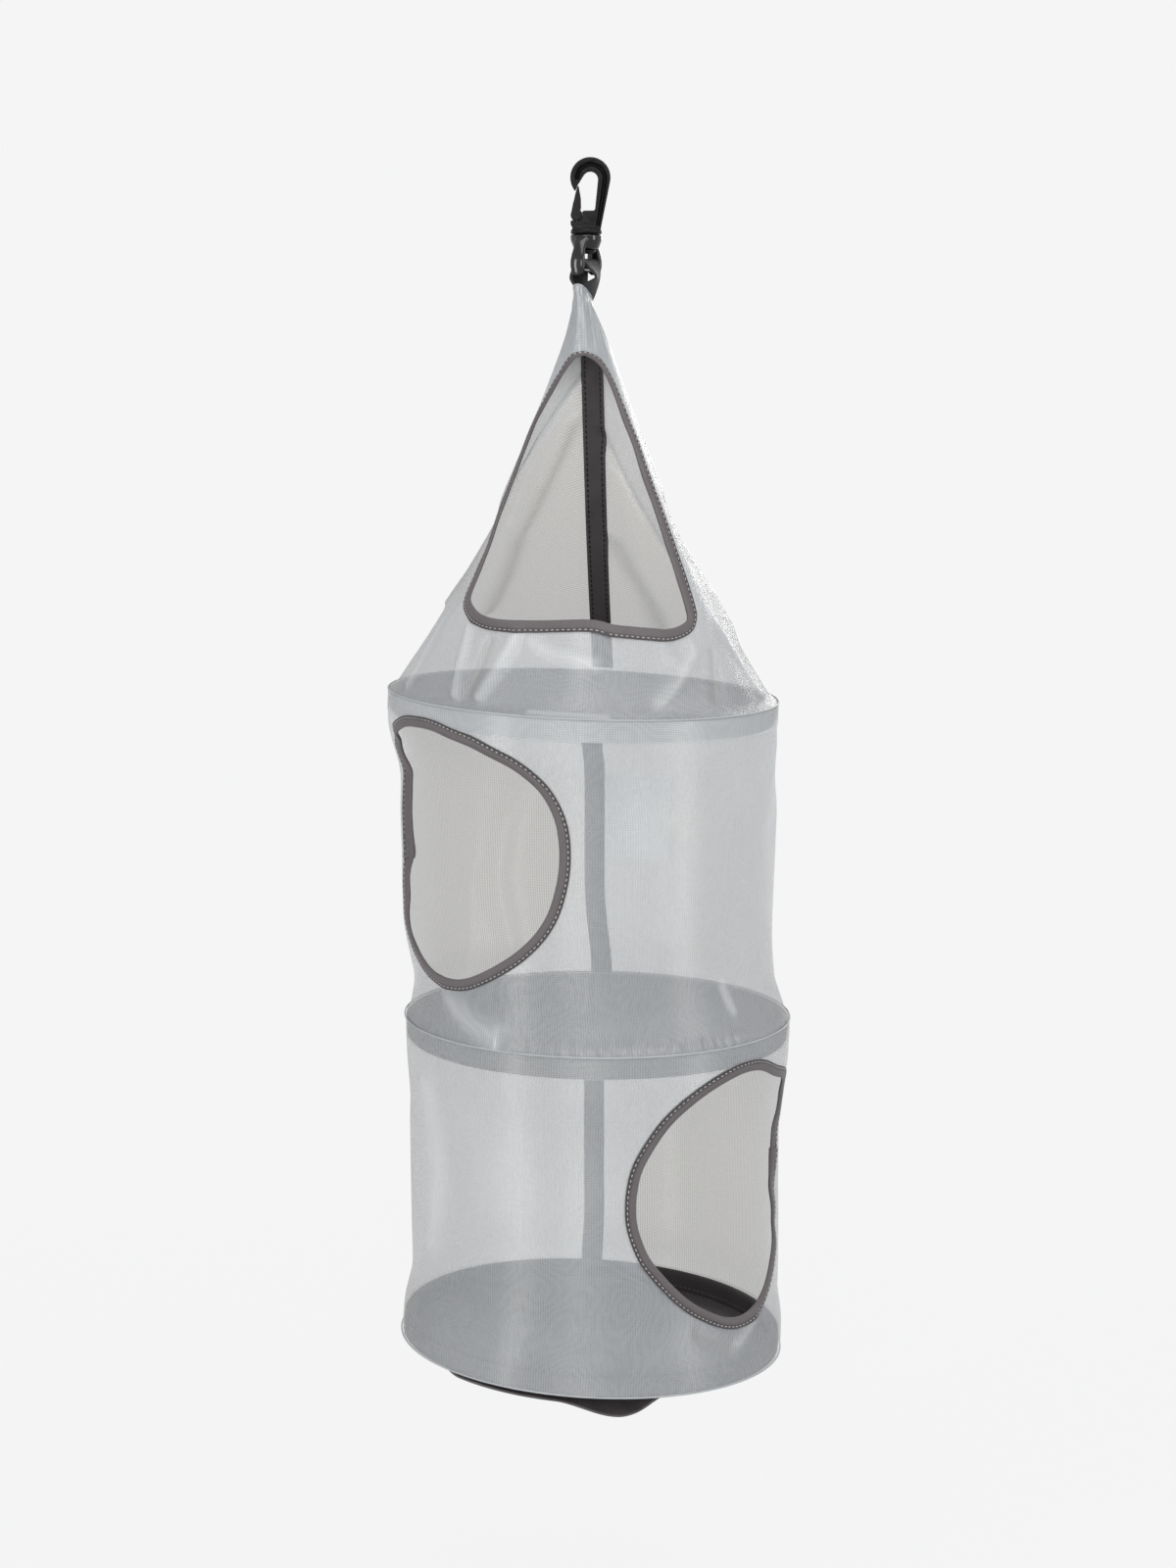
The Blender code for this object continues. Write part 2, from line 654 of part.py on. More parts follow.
class Spire(Tier):
    """The top wall: a flat neck sewn round the webbing, opening to the top ring."""

    def rows(self):
        return [(k / (WALL_ROWS + 2)) ** 1.2 for k in range(WALL_ROWS + 3)]

    def flat(self, angle, share):
        """The pattern is a sector, which closes up to a cone."""
        narrowing = SEWN_RADIUS / math.hypot(SEWN_RADIUS, SPIRE_HEIGHT)
        turn = (angle - self.seam + math.pi) * narrowing
        reach = self.radius(share) / narrowing
        return Vector((math.sin(turn), math.cos(turn))) * reach

    def opening(self, share):
        freed = max(share - NECK_SHARE, 0) / (1 - NECK_SHARE)
        return NECK_FULLNESS * freed + (1 - NECK_FULLNESS) * freed**3

    def neck(self, angle):
        """The neck's reach at this angle: an oval with its long side along the swivel's bar."""
        away = outward(angle).angle(Vector((math.sin(NECK_TURN), math.cos(NECK_TURN), 0)))
        long_side = abs(math.cos(away)) / NECK_HALF_WIDTH
        short_side = abs(math.sin(away)) / NECK_HALF_THICKNESS
        return (long_side**2.6 + short_side**2.6) ** (-1 / 2.6)

    def radius(self, share):
        return mix(NECK_RADIUS, SEWN_RADIUS, self.opening(share))

    def folds(self, angle, share):
        swell = smooth_step(0.12, 0.6, share) * smooth_step(1.0, 0.9, share)
        waves = 0.55 * math.sin(7 * angle + 0.6) + 0.45 * math.sin(11 * angle + 2.2)
        return self.fold * swell * waves

    def point(self, angle, share, out=0.0):
        foot = self.lower.at(angle)
        top = Vector((SWIVEL_X + TAIL_SHIFT * smooth_step(0.12, 0, share), 0, APEX_Z))
        centre = Vector((self.lower.shift, 0, self.lower.z))
        opened = self.opening(share)
        place = top.lerp(centre, share)
        place.z += (foot.z - centre.z) * opened**3
        reach = self.radius(share) + (self.neck(angle) - NECK_RADIUS) * (1 - opened) ** 4
        far = outward(angle).dot(Vector((math.sin(NECK_TURN), math.cos(NECK_TURN), 0)))
        place.z -= self.neck(angle) * far * math.tan(TAIL_SLANT) * smooth_step(0.2, 0, share)
        return place + outward(angle) * (reach + out + self.folds(angle, share))


class Ring:
    """A ring line: where a wall ends, at this height, shift and tilt."""

    def __init__(self, z, shift, tilt, radius, rise, stands_on_floor):
        self.z, self.shift, self.tilt = z, shift, tilt
        self.radius, self.rise = radius, rise
        self.stands_on_floor = stands_on_floor

    def matrix(self):
        return Matrix.Translation((self.shift, 0, self.z)) @ Matrix.Rotation(self.tilt, 4, "Y")

    def middle(self, height):
        return self.matrix() @ Vector((0, 0, self.rise + height))

    def at(self, angle, height=0.0):
        """A point this far above the wall's end, straight out from the ring's own axis."""
        return self.matrix() @ (outward(angle) * self.radius + Vector((0, 0, self.rise + height)))


def above(z, shift, tilt):
    """The ring as the wall over it meets it: standing on the floor, inside the ring line."""
    return Ring(z, shift, tilt, SEWN_RADIUS, FLOOR_TOP + GAP, True)


def below(z, shift, tilt):
    """The ring as the wall under it meets it: drawn over the outside of the channel."""
    return Ring(z, shift, tilt, RING_RADIUS, FLOOR_TOP, False)


# Windows


def bowed(start, end, bulge, first, last, spacing):
    """Part of a window's side, bowed out to its left by bulge, as pairs of point and direction."""
    along = end - start
    control = (start + end) / 2 + Vector((-along.y, along.x)).normalized() * 2 * bulge
    steps = max(1, round((last - first) * along.length / spacing))
    pairs = []
    for k in range(steps + 1):
        t = mix(first, last, k / steps)
        point = start * (1 - t) ** 2 + control * 2 * t * (1 - t) + end * t * t
        pairs.append((point, (control - start) * (1 - t) + (end - control) * t))
    return pairs


def fillet(before, after, steps, slack):
    """A corner between two (point, direction) pairs. With no slack given it is a true arc."""
    (begin, entry), (end, leave) = before, after
    corner = begin + entry * (end - begin).cross(leave) / entry.cross(leave)
    weight = slack or math.sin((begin - corner).angle(end - corner) / 2)
    points = []
    for k in range(steps + 1):
        t = k / steps
        parts = ((1 - t) ** 2, 2 * weight * t * (1 - t), t * t)
        points.append((begin * parts[0] + corner * parts[1] + end * parts[2]) / sum(parts))
    return points


def window_outline(corners, reaches, bulges, spacing, fewest, slacks=None):
    """An opening's edge in flat (round, down) sizes: bowed sides joined by round corners.

    Each corner's reach is how far it goes back along the side before it and the one after it, and
    fewest is how many steps it is made of at least.
    """
    count = len(corners)
    sides = []
    for k, corner in enumerate(corners):
        after = corners[(k + 1) % count]
        length = (after - corner).length
        first, last = reaches[k][1] / length, 1 - reaches[(k + 1) % count][0] / length
        sides.append(bowed(corner, after, bulges[k], first, last, spacing))
    points = []
    for k in range(count):
        steps = max(fewest, round(0.75 * sum(reaches[k]) / spacing))
        points += fillet(sides[k - 1][-1], sides[k][0], steps, slacks[k] if slacks else None)
        points += [point for point, _ in sides[k][1:-1]]
    return [p for k, p in enumerate(points) if (p - points[k - 1]).length > 0.1 * MM]


def grown(outline, distance):
    """The outline set off outwards, for one that runs with its outside on the left."""
    points = []
    count = len(outline)
    for k, point in enumerate(outline):
        along = outline[(k + 1) % count] - outline[k - 1]
        points.append(point + Vector((-along.y, along.x)).normalized() * distance)
    return points


class Window:
    """An opening in a tier, placed by its middle's angle."""

    def __init__(self, tier, angle, outline):
        self.tier, self.angle, self.outline = tier, angle, outline

    def on_wall(self, point):
        """(angle, share) of a point given as (distance round, distance down)."""
        share = point.y / self.tier.height
        return self.angle + point.x / self.tier.radius(share), share

    def loop(self, distance):
        return [self.on_wall(p) for p in grown(self.outline, distance)]


def side_window(tier, angle, outer, size, corner, slack):
    """The D-shaped opening. outer is the side, -1 left or 1 right, that its straight edge is on."""
    wide, tall = size[0] / 2, size[1] / 2
    middle = SIDE_WINDOW_TOP + tall
    corners, reaches, slacks = [], [], []
    for across, down in ((-1, 1), (1, 1), (1, -1), (-1, -1)):
        sharp = (across, down) == (outer, -1)
        corners.append(Vector((across * wide, middle + down * tall)))
        reach = (corner,) * 2 if sharp else (wide, tall)
        reaches.append(reach if across * down > 0 else reach[::-1])
        slacks.append(slack if (across, down) == (outer, 1) else None)
    return Window(tier, angle, window_outline(corners, reaches, [0] * 4, 9 * MM, 3, slacks))


def front_window(tier, angle):
    """The spire's opening: a triangle with bowed sides and round corners."""
    corners = [Vector((0, FRONT_WINDOW_TOP)), Vector(FRONT_WINDOW_LEFT), Vector(FRONT_WINDOW_RIGHT)]
    reaches = [(FRONT_WINDOW_CORNER,) * 2] * 3
    return Window(tier, angle, window_outline(corners, reaches, FRONT_WINDOW_BULGES, 6 * MM, 10))


def inside(point, loop):
    """Does a flat loop go round this point?"""
    crossings = 0
    for k in range(len(loop)):
        a, b = loop[k - 1], loop[k]
        if (a.y > point.y) != (b.y > point.y):
            crossings += point.x < a.x + (b.x - a.x) * (point.y - a.y) / (b.y - a.y)
    return crossings % 2 == 1


def make_wall(name, parent, cloth, tier, window):
    """A tube of mesh with its window cut out, meshed on its flat pattern and wrapped round the tier."""
    edge, hem, guard = [window.loop(d) for d in (0, BINDING_WIDTH + 0.5 * MM, BINDING_WIDTH + 4.5 * MM)]
    outside = [tier.flat(*spot) for spot in guard]
    opening = [tier.flat(*spot) for spot in edge]
    seam_half = SEAM_WIDTH / 2 / tier.radius(0.6)
    begin = tier.seam - math.tau
    angles = [begin + math.tau * k / WALL_COLUMNS for k in range(1, WALL_COLUMNS)]
    angles += [begin + seam_half, tier.seam - seam_half]
    spots = edge + hem
    count = len(edge)
    lines = [(k, count + k) for k in range(count)]
    for start in (0, count):
        lines += [(start + k, start + (k + 1) % count) for k in range(count)]
    for share in tier.rows():
        row = [(angle, share) for angle in angles]
        row = [spot for spot in row if not inside(tier.flat(*spot), outside)]
        spots += [(begin, share), (tier.seam, share)] + row
    charted = [tier.flat(*spot) for spot in spots]
    found, _, faces, sources, *_ = delaunay_2d_cdt(charted, lines, [], 0, 1e-7)
    kept = []
    for face in faces:
        a, b, c = (found[k] for k in face)
        on_top_edge = all(spots[sources[k][0]][1] == 0 for k in face)
        sliver = abs((b - a).cross(c - a)) < 0.01 * MM**2
        if not (on_top_edge or sliver or inside((a + b + c) / 3, opening)):
            kept.append(face)
    places = [tier.point(*spots[source[0]]) for source in sources]
    used = sorted({k for f in kept for k in f})
    number = {k: n for n, k in enumerate(used)}
    places = [places[k] for k in used]
    mesh = mesh_of(places, [tuple(number[k] for k in f) for f in kept], smooth=True)
    wall = new_object(name, mesh, parent, cloth)
    thickness = wall.modifiers.new("cloth thickness", "SOLIDIFY")
    thickness.thickness = MESH_THICKNESS
    thickness.offset = 0
    return wall


def make_binding(name, parent, tape, window):
    """Tape folded over the window's edge and round it: one leg inside the mesh and one outside."""
    near = MESH_THICKNESS / 2 + TRIM_GAP
    far = near + TAPE_THICKNESS
    fold = -TRIM_GAP
    section = [(BINDING_WIDTH, near), (fold, near), (fold, -near), (BINDING_WIDTH, -near)]
    section += [(BINDING_WIDTH, -far), (fold - TAPE_THICKNESS * 0.6, -far)]
    section += [(fold - TAPE_THICKNESS * 1.4, 0), (fold - TAPE_THICKNESS * 0.6, far), (BINDING_WIDTH, far)]
    tracks = [[window.tier.point(*spot, out) for spot in window.loop(distance)] for distance, out in section]
    rings = [list(ring) for ring in zip(*tracks)]
    return new_object(name, loft(rings, closed=True), parent, tape)


def make_seam_tape(name, parent, tape, tier, start_drop, end_drop):
    """Flat tape sewn down the back seam, inside the wall."""
    near = MESH_THICKNESS / 2 + SEAM_GAP
    far = near + SEAM_THICKNESS
    steps = 14
    rings = []
    for k in range(steps + 1):
        share = mix(start_drop, tier.height - end_drop, k / steps) / tier.height
        half = SEAM_WIDTH / 2 / max(tier.radius(share) - near, SEAM_WIDTH)
        across = [tier.seam - half, tier.seam, tier.seam + half]
        ring = [tier.point(a, share, -near) for a in across]
        ring += [tier.point(a, share, -far) for a in reversed(across)]
        rings.append(ring)
    return new_object(name, loft(rings), parent, tape)


def make_label(parent, satin, tier):
    """The care label: blank satin, its left edge caught in the seam, lying along the wall."""
    near = MESH_THICKNESS / 2 + SEAM_GAP
    far = near + LABEL_THICKNESS
    start = tier.seam - (SEAM_WIDTH / 2 + 0.4 * MM) / tier.radius(0.5)
    steps = 5
    rings = []
    for k in range(steps + 1):
        angle = start - LABEL_WIDTH / tier.radius(0.5) * k / steps
        shares = [(LABEL_DROP + LABEL_HEIGHT * n / 3) / tier.height for n in range(4)]
        ring = [tier.point(angle, s, -near) for s in shares]
        ring += [tier.point(angle, s, -far) for s in reversed(shares)]
        rings.append(ring)
    return new_object("care_label", loft(rings), parent, satin)


def make_storage_band(parent, elastic, ring):
    """Elastic that goes round the folded organizer, sewn by its ends under the bottom floor."""
    steps = 16
    left, right = Vector((*BAND_LEFT, 0)), Vector((*BAND_RIGHT, 0))
    along = (right - left).normalized()
    across = Vector((-along.y, along.x, 0)) * BAND_WIDTH / 2
    under = -FLOOR_THICKNESS - GAP
    rings = []
    for k in range(steps + 1):
        share = k / steps
        end = smooth_step(0, 0.16, share) * smooth_step(1, 0.84, share)
        sag = BAND_SAG * end * math.sin(math.pi * share**2) ** 0.8 if 0 < share < 1 else 0
        middle = left.lerp(right, share) + Vector((0, 0, under - sag))
        down = Vector((0, 0, -BAND_THICKNESS))
        ring_points = [middle - across, middle + across, middle + across + down, middle - across + down]
        rings.append(ring_points)
    return new_object("storage_band", loft(rings), parent, elastic, in_world=False)


def build():
    clear_scene()
    plastic = material("hook_plastic", (0.012, 0.012, 0.013), 0.42)
    swivel_plastic = material("swivel_plastic", (0.010, 0.010, 0.011), 0.3)
    tongue_plastic = material("tongue_plastic", (0.011, 0.011, 0.012), 0.45)
    nylon = material("webbing", (0.012, 0.012, 0.013), 0.85)
    steel = material("spring_steel", (0.56, 0.56, 0.58), 0.3, 1.0)

    hook = empty("hook_hanging", Matrix())
    make_hook(hook, plastic)
    tongue_axis = empty("tongue_root", Matrix.Translation((TONGUE_X, 0, -TONGUE_DROP)), hook)
    make_tongue(tongue_axis, tongue_plastic)

    turned_frame = Matrix.Translation((SWIVEL_X, 0, 0)) @ Matrix.Rotation(-BAR_TURN, 4, "Z")
    swivel = empty("swivel_axis", turned_frame, hook)
    make_swivel(swivel, swivel_plastic)
    bar = empty("bar_axis", turned_frame @ Matrix.Translation((0, 0, BAR_Z)), swivel)
    make_webbing(bar, nylon)

    rings = (
        ("top", TOP_Z, TOP_SHIFT, TOP_TILT, -1),
        ("middle", MIDDLE_Z, MIDDLE_SHIFT, MIDDLE_TILT, -1),
        ("bottom", BOTTOM_Z, BOTTOM_SHIFT, BOTTOM_TILT, 1),
    )
    frames = {}
    carrier = bar
    for name, z, shift, tilt, side in rings:
        carrier = empty(f"{name}_ring", above(z, shift, tilt).matrix(), carrier)
        frames[name] = carrier
        make_hoop(f"{name}_hoop", carrier, steel, side)
        make_ferrule(f"{name}_hoop_ferrule", carrier, steel, side)
        tape = material(f"{name}_channel_tape", (0.055, 0.049, 0.052), 0.8)
        make_channel(f"{name}_hoop_tape", carrier, tape, side)
        fabric = material(f"{name}_floor_fabric", (0.048, 0.044, 0.046), 0.85)
        make_floor(f"{name}_floor", carrier, fabric, GAP if side < 0 else -FLOOR_THICKNESS)

    over_top = above(TOP_Z, TOP_SHIFT, TOP_TILT)
    under_top = below(TOP_Z, TOP_SHIFT, TOP_TILT)
    over_middle = above(MIDDLE_Z, MIDDLE_SHIFT, MIDDLE_TILT)
    under_middle = below(MIDDLE_Z, MIDDLE_SHIFT, MIDDLE_TILT)
    round_bottom = Ring(BOTTOM_Z, BOTTOM_SHIFT, BOTTOM_TILT, RING_RADIUS, -FLOOR_THICKNESS, False)
    spire = Spire(None, over_top, SPIRE_HEIGHT, 0, 0, SPIRE_FOLD, SPIRE_SEAM_ANGLE)
    middle = Tier(under_top, over_middle, MIDDLE_HEIGHT, 0, MIDDLE_WAIST, TUBE_FOLD, MIDDLE_SEAM_ANGLE)
    lower = Tier(
        under_middle, round_bottom, LOWER_HEIGHT, LOWER_TUBE_SHIFT, LOWER_WAIST, TUBE_FOLD, LOWER_SEAM_ANGLE
    )
    left_window = side_window(middle, LEFT_WINDOW_ANGLE, -1, LEFT_WINDOW_SIZE, LEFT_WINDOW_CORNER, LEFT_WINDOW_SLACK)
    right_window = side_window(lower, RIGHT_WINDOW_ANGLE, 1, RIGHT_WINDOW_SIZE, RIGHT_WINDOW_CORNER, RIGHT_WINDOW_SLACK)
    walls = (
        ("spire", bar, spire, front_window(spire, FRONT_WINDOW_ANGLE), SPIRE_SEAM_START, 3 * MM),
        ("middle", frames["top"], middle, left_window, 12 * MM, 4 * MM),
        ("lower", frames["middle"], lower, right_window, 12 * MM, 13 * MM),
    )
    for name, parent, tier, window, tape_start, tape_end in walls:
        cloth = material(f"{name}_mesh_cloth", (0.55, 0.57, 0.58), 0.6)
        make_wall(f"{name}_mesh", parent, cloth, tier, window)
        binding = material(f"{name}_window_tape", (0.16, 0.14, 0.15), 0.75)
        make_binding(f"{name}_window_binding", parent, binding, window)
        seam = material(f"{name}_seam_tape", (0.05, 0.045, 0.047), 0.8)
        make_seam_tape(f"{name}_seam_tape", parent, seam, tier, tape_start, tape_end)
    make_label(frames["top"], material("label_satin", (0.75, 0.76, 0.8), 0.5), middle)
    make_storage_band(frames["bottom"], material("band_elastic", (0.14, 0.12, 0.13), 0.8), round_bottom)


build()
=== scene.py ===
import json
from math import atan2, cos, hypot, pi, radians, sin, tan, tau

import bpy
import numpy as np
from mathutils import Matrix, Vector


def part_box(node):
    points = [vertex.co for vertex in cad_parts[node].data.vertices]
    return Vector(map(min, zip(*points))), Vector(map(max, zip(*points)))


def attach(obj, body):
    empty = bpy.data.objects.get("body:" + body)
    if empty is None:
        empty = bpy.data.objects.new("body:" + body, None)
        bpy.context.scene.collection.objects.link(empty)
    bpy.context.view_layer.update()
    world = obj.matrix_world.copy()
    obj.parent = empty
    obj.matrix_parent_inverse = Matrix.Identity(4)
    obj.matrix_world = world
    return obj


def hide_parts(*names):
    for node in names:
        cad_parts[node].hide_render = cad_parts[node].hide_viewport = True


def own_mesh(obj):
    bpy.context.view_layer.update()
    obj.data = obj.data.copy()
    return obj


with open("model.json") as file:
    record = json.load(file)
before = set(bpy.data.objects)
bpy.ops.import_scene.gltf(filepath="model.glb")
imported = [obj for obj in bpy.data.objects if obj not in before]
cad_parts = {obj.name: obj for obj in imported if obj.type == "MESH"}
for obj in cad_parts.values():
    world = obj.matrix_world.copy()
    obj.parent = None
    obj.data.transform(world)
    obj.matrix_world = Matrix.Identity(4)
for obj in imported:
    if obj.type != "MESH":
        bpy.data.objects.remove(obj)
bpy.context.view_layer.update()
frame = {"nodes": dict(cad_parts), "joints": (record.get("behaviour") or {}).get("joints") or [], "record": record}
MM = 0.001


# Snap hook, its springy gate and the swivel below: three black nylon mouldings with a satin skin
# and a fine grain from the mould. The swivel is polished a little more by turning on its post.
# Each keeps its own form, welded into one skin whose rounded edges are shaded smooth.
HOOK_SWELL = 0.12 * MM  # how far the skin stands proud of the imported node
SWIVEL_SWELL = 0.1 * MM
CREASE = radians(38)  # edges sharper than this stay sharp


def pick(piece):
    """Selects this piece alone, for an operator."""
    bpy.ops.object.select_all(action="DESELECT")
    piece.select_set(True)
    bpy.context.view_layer.objects.active = piece


def apply_change(piece, kind, **settings):
    change = piece.modifiers.new(kind.lower(), kind)
    for name, value in settings.items():
        setattr(change, name, value)
    pick(piece)
    bpy.ops.object.modifier_apply(modifier=change.name)


def weld(piece, gap):
    """Joins vertices within the gap, and leaves the whole piece selected in edit mode."""
    pick(piece)
    bpy.ops.object.mode_set(mode="EDIT")
    bpy.ops.mesh.select_all(action="SELECT")
    bpy.ops.mesh.remove_doubles(threshold=gap)


def add(name, data):
    """A new object in the scene, at the origin."""
    piece = bpy.data.objects.new(name, data)
    bpy.context.collection.objects.link(piece)
    return piece


def fit(piece, body, slot, *nodes):
    """Lets the piece ride on its body, in place of these nodes; slot is not used."""
    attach(piece, body)
    if nodes:
        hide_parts(*nodes)
    return piece


def welded_copy(node, name, body, finish, swell):
    """A moulding's form as one closed skin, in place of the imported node, swollen by this much."""
    piece = add(name, frame["nodes"][node].data.copy())
    piece.data.materials.clear()
    piece.data.materials.append(finish)
    weld(piece, 0.01 * MM)
    bpy.ops.transform.shrink_fatten(value=swell)
    bpy.ops.object.mode_set(mode="OBJECT")
    bpy.ops.object.shade_smooth_by_angle(angle=CREASE)
    apply_change(piece, "WEIGHTED_NORMAL", keep_sharp=True)
    return fit(piece, body, "hook_plastic", node)


def new_finish(name, colour, roughness, metallic=0.0, specular=0.5):
    """A material with its node tree and its shader."""
    made = bpy.data.materials.new(name)
    made.use_nodes = True
    shader = made.node_tree.nodes["Principled BSDF"]
    for socket, value in (
        ("Base Color", (*colour, 1)), ("Roughness", roughness), ("Metallic", metallic),
        ("Specular IOR Level", specular),
    ):
        shader.inputs[socket].default_value = value
    return made, made.node_tree, shader


def calculate(tree, operation, *values):
    """A Math node on numbers and outputs of other nodes. Gives its output."""
    step = tree.nodes.new("ShaderNodeMath")
    step.operation = operation
    for socket, value in zip(step.inputs, values):
        if isinstance(value, (int, float)):
            socket.default_value = value
        else:
            tree.links.new(value, socket)
    return step.outputs[0]


def scaled(tree, value, by, plus=0.0):
    return calculate(tree, "MULTIPLY_ADD", value, by, plus)


def blotches(tree, size, detail=2.0, source="Object"):
    """Noise with spots of about this size in metres, from 0 to 1."""
    place = tree.nodes.new("ShaderNodeTexCoord")
    noise = tree.nodes.new("ShaderNodeTexNoise")
    noise.inputs["Scale"].default_value = 1 / size
    noise.inputs["Detail"].default_value = detail
    tree.links.new(place.outputs[source], noise.inputs["Vector"])
    return noise.outputs["Fac"]


def tint(tree, shader, share, dark, light, low=0.3, high=0.7):
    """Colours the surface from dark to light as share goes from low to high."""
    ramp = tree.nodes.new("ShaderNodeValToRGB")
    first, last = ramp.color_ramp.elements
    first.position, first.color = low, (*dark, 1)
    last.position, last.color = high, (*light, 1)
    tree.links.new(share, ramp.inputs["Fac"])
    tree.links.new(ramp.outputs["Color"], shader.inputs["Base Color"])
    return ramp.outputs["Color"]


def relief(tree, shader, height, depth):
    """Raises the surface by depth, in metres, where height is 1."""
    bump = tree.nodes.new("ShaderNodeBump")
    bump.inputs["Distance"].default_value = depth
    tree.links.new(height, bump.inputs["Height"])
    tree.links.new(bump.outputs["Normal"], shader.inputs["Normal"])


def moulded_nylon(name, colour, roughness, specular, grain_depth):
    made, tree, shader = new_finish(name, colour, roughness, specular=specular)
    grain = blotches(tree, 0.35 * MM, 3)
    rubbed = blotches(tree, 5 * MM)
    tint(tree, shader, rubbed, [c * 0.75 for c in colour], [c * 1.5 for c in colour])
    dull = scaled(tree, rubbed, 0.14, roughness - 0.07)
    tree.links.new(dull, shader.inputs["Roughness"])
    relief(tree, shader, grain, grain_depth)
    return made


hook_nylon = moulded_nylon("hook nylon", (0.0046, 0.0040, 0.0040), 0.46, 0.14, 0.03 * MM)
swivel_nylon = moulded_nylon("swivel nylon", (0.0036, 0.0035, 0.0037), 0.17, 0.45, 0.006 * MM)
welded_copy("hook_body", "snap_hook", "hook", hook_nylon, HOOK_SWELL)
welded_copy("hook_gate", "snap_gate", "gate", hook_nylon, HOOK_SWELL)
welded_copy("swivel_base", "swivel", "swivel", swivel_nylon, SWIVEL_SWELL)


# Webbing loop: 20 mm black nylon webbing folded round the swivel's bar. Its two legs are sewn
# together inside the mesh with rows of bar tacks. The near edge flares and the tail twists a little.
WEBBING_WIDTH = 20 * MM
WEBBING_THICKNESS = 1.4 * MM
BAR_RADIUS = 2.2 * MM
BAR_TURN = radians(20)
LOOP_DROP = 15 * MM
LOOP_LEFT = (5 * MM, 3.4 * MM)  # near and far reach from the bar's axis
LOOP_RIGHT = (10.2 * MM, 3.6 * MM)
TAIL_LENGTH = 4.8 * MM
TAIL_SHIFT = -1.7 * MM
TAIL_TWIST = radians(7)
TAIL_SLANT = radians(23)
TOUCH = 0.3 * MM
TACK_STITCH = (1.1, 1.5, 0.5)  # pitch, length and width in millimetres

joint_places = {joint["name"]: joint.get("pos_m") for joint in frame["joints"]}
swivel_x = joint_places["hook_swivel"][0]
bar_z = joint_places["loop_swing"][2]


def lengths(line):
    """The distance along a line of points, at each point."""
    return np.concatenate([[0], np.cumsum(np.linalg.norm(np.diff(line, axis=0), axis=1))])


def read_off(values, reach, wanted):
    """Rows of values that belong to the distances in reach, at the wanted distances."""
    return np.stack([np.interp(wanted, reach, values[:, k]) for k in range(values.shape[1])], -1)


def evenly(line, count):
    """The line again with its points the same distance apart."""
    reach = lengths(line)
    return read_off(line, reach, np.linspace(0, reach[-1], count))


def rounded(line, passes=3):
    """The line with its corners cut, pass by pass. Its ends stay."""
    line = np.asarray(line, float)
    for _ in range(passes):
        cut = np.stack([line[:-1] * 0.75 + line[1:] * 0.25, line[:-1] * 0.25 + line[1:] * 0.75], 1)
        line = np.concatenate([line[:1], cut.reshape(-1, line.shape[1]), line[-1:]])
    return line


def cloth(name, places, finishes, wrap=False, pole=False, uv=None, keep=None, part=None, marks=()):
    """A skin over rows and columns of places.

    wrap joins the last column to the first, and pole closes the first row. keep says which cells
    stay, and part gives each cell's finish. marks are pairs of a name and a number for each place.
    Its UV map is in metres along the cloth.
    """
    rows, columns = places.shape[:2]
    across = columns if wrap else columns - 1
    row, column = np.mgrid[0 : rows - 1, 0:across]
    after = (column + 1) % columns
    here, below = row * columns, (row + 1) * columns
    quads = np.stack([here + column, below + column, below + after, here + after], -1)
    if uv is None:
        middle = places[rows // 2]
        round_it = lengths(np.concatenate([middle, middle[:1]]) if wrap else middle)
        uv = np.stack(np.meshgrid(round_it, lengths(places[:, 0])), -1)
    corners = np.stack([uv[:-1, :-1], uv[1:, :-1], uv[1:, 1:], uv[:-1, 1:]], 2)
    chosen = np.ones(row.shape, bool) if keep is None else keep
    quads, corners = quads[chosen], corners[chosen]
    faces = quads.tolist()
    charted = corners.reshape(-1, 2)
    if pole:
        faces.append(list(range(columns)))
        charted = np.concatenate([charted, uv[0, :columns]])
    used, numbers = np.unique(np.concatenate([np.ravel(f) for f in faces]), return_inverse=True)
    starts = np.cumsum([0] + [len(f) for f in faces])
    faces = [numbers[a:b].tolist() for a, b in zip(starts, starts[1:])]
    mesh = bpy.data.meshes.new(name)
    mesh.from_pydata(places.reshape(-1, 3)[used].tolist(), [], faces)
    mesh.uv_layers.new(name="UVMap").data.foreach_set("uv", charted.ravel())
    for finish in finishes:
        mesh.materials.append(finish)
    if part is not None:
        mesh.polygons.foreach_set("material_index", part[chosen].astype(np.int32))
    for mark, values in marks:
        mesh.attributes.new(mark, "FLOAT", "POINT").data.foreach_set("value", values.ravel()[used])
    mesh.shade_smooth()
    return add(name, mesh)


def thicken(piece, thickness):
    """Gives the skin its thickness, half to each side, and keeps its cut edges crisp."""
    apply_change(piece, "SOLIDIFY", thickness=thickness, offset=0)
    bpy.ops.object.shade_smooth_by_angle(angle=radians(50))
    return piece


def cloth_axis(tree, axis):
    """Metres along the cloth's axis 0 or 1, from its UV map."""
    place = tree.nodes.new("ShaderNodeUVMap")
    split = tree.nodes.new("ShaderNodeSeparateXYZ")
    tree.links.new(place.outputs["UV"], split.inputs[0])
    return split.outputs[axis]


def cloth_lines(tree, axis, pitch):
    """Ribs this many millimetres apart along the cloth's axis 0 or 1, as a wave from -1 to 1."""
    turns = scaled(tree, cloth_axis(tree, axis), tau / (pitch * MM))
    return calculate(tree, "SINE", turns)


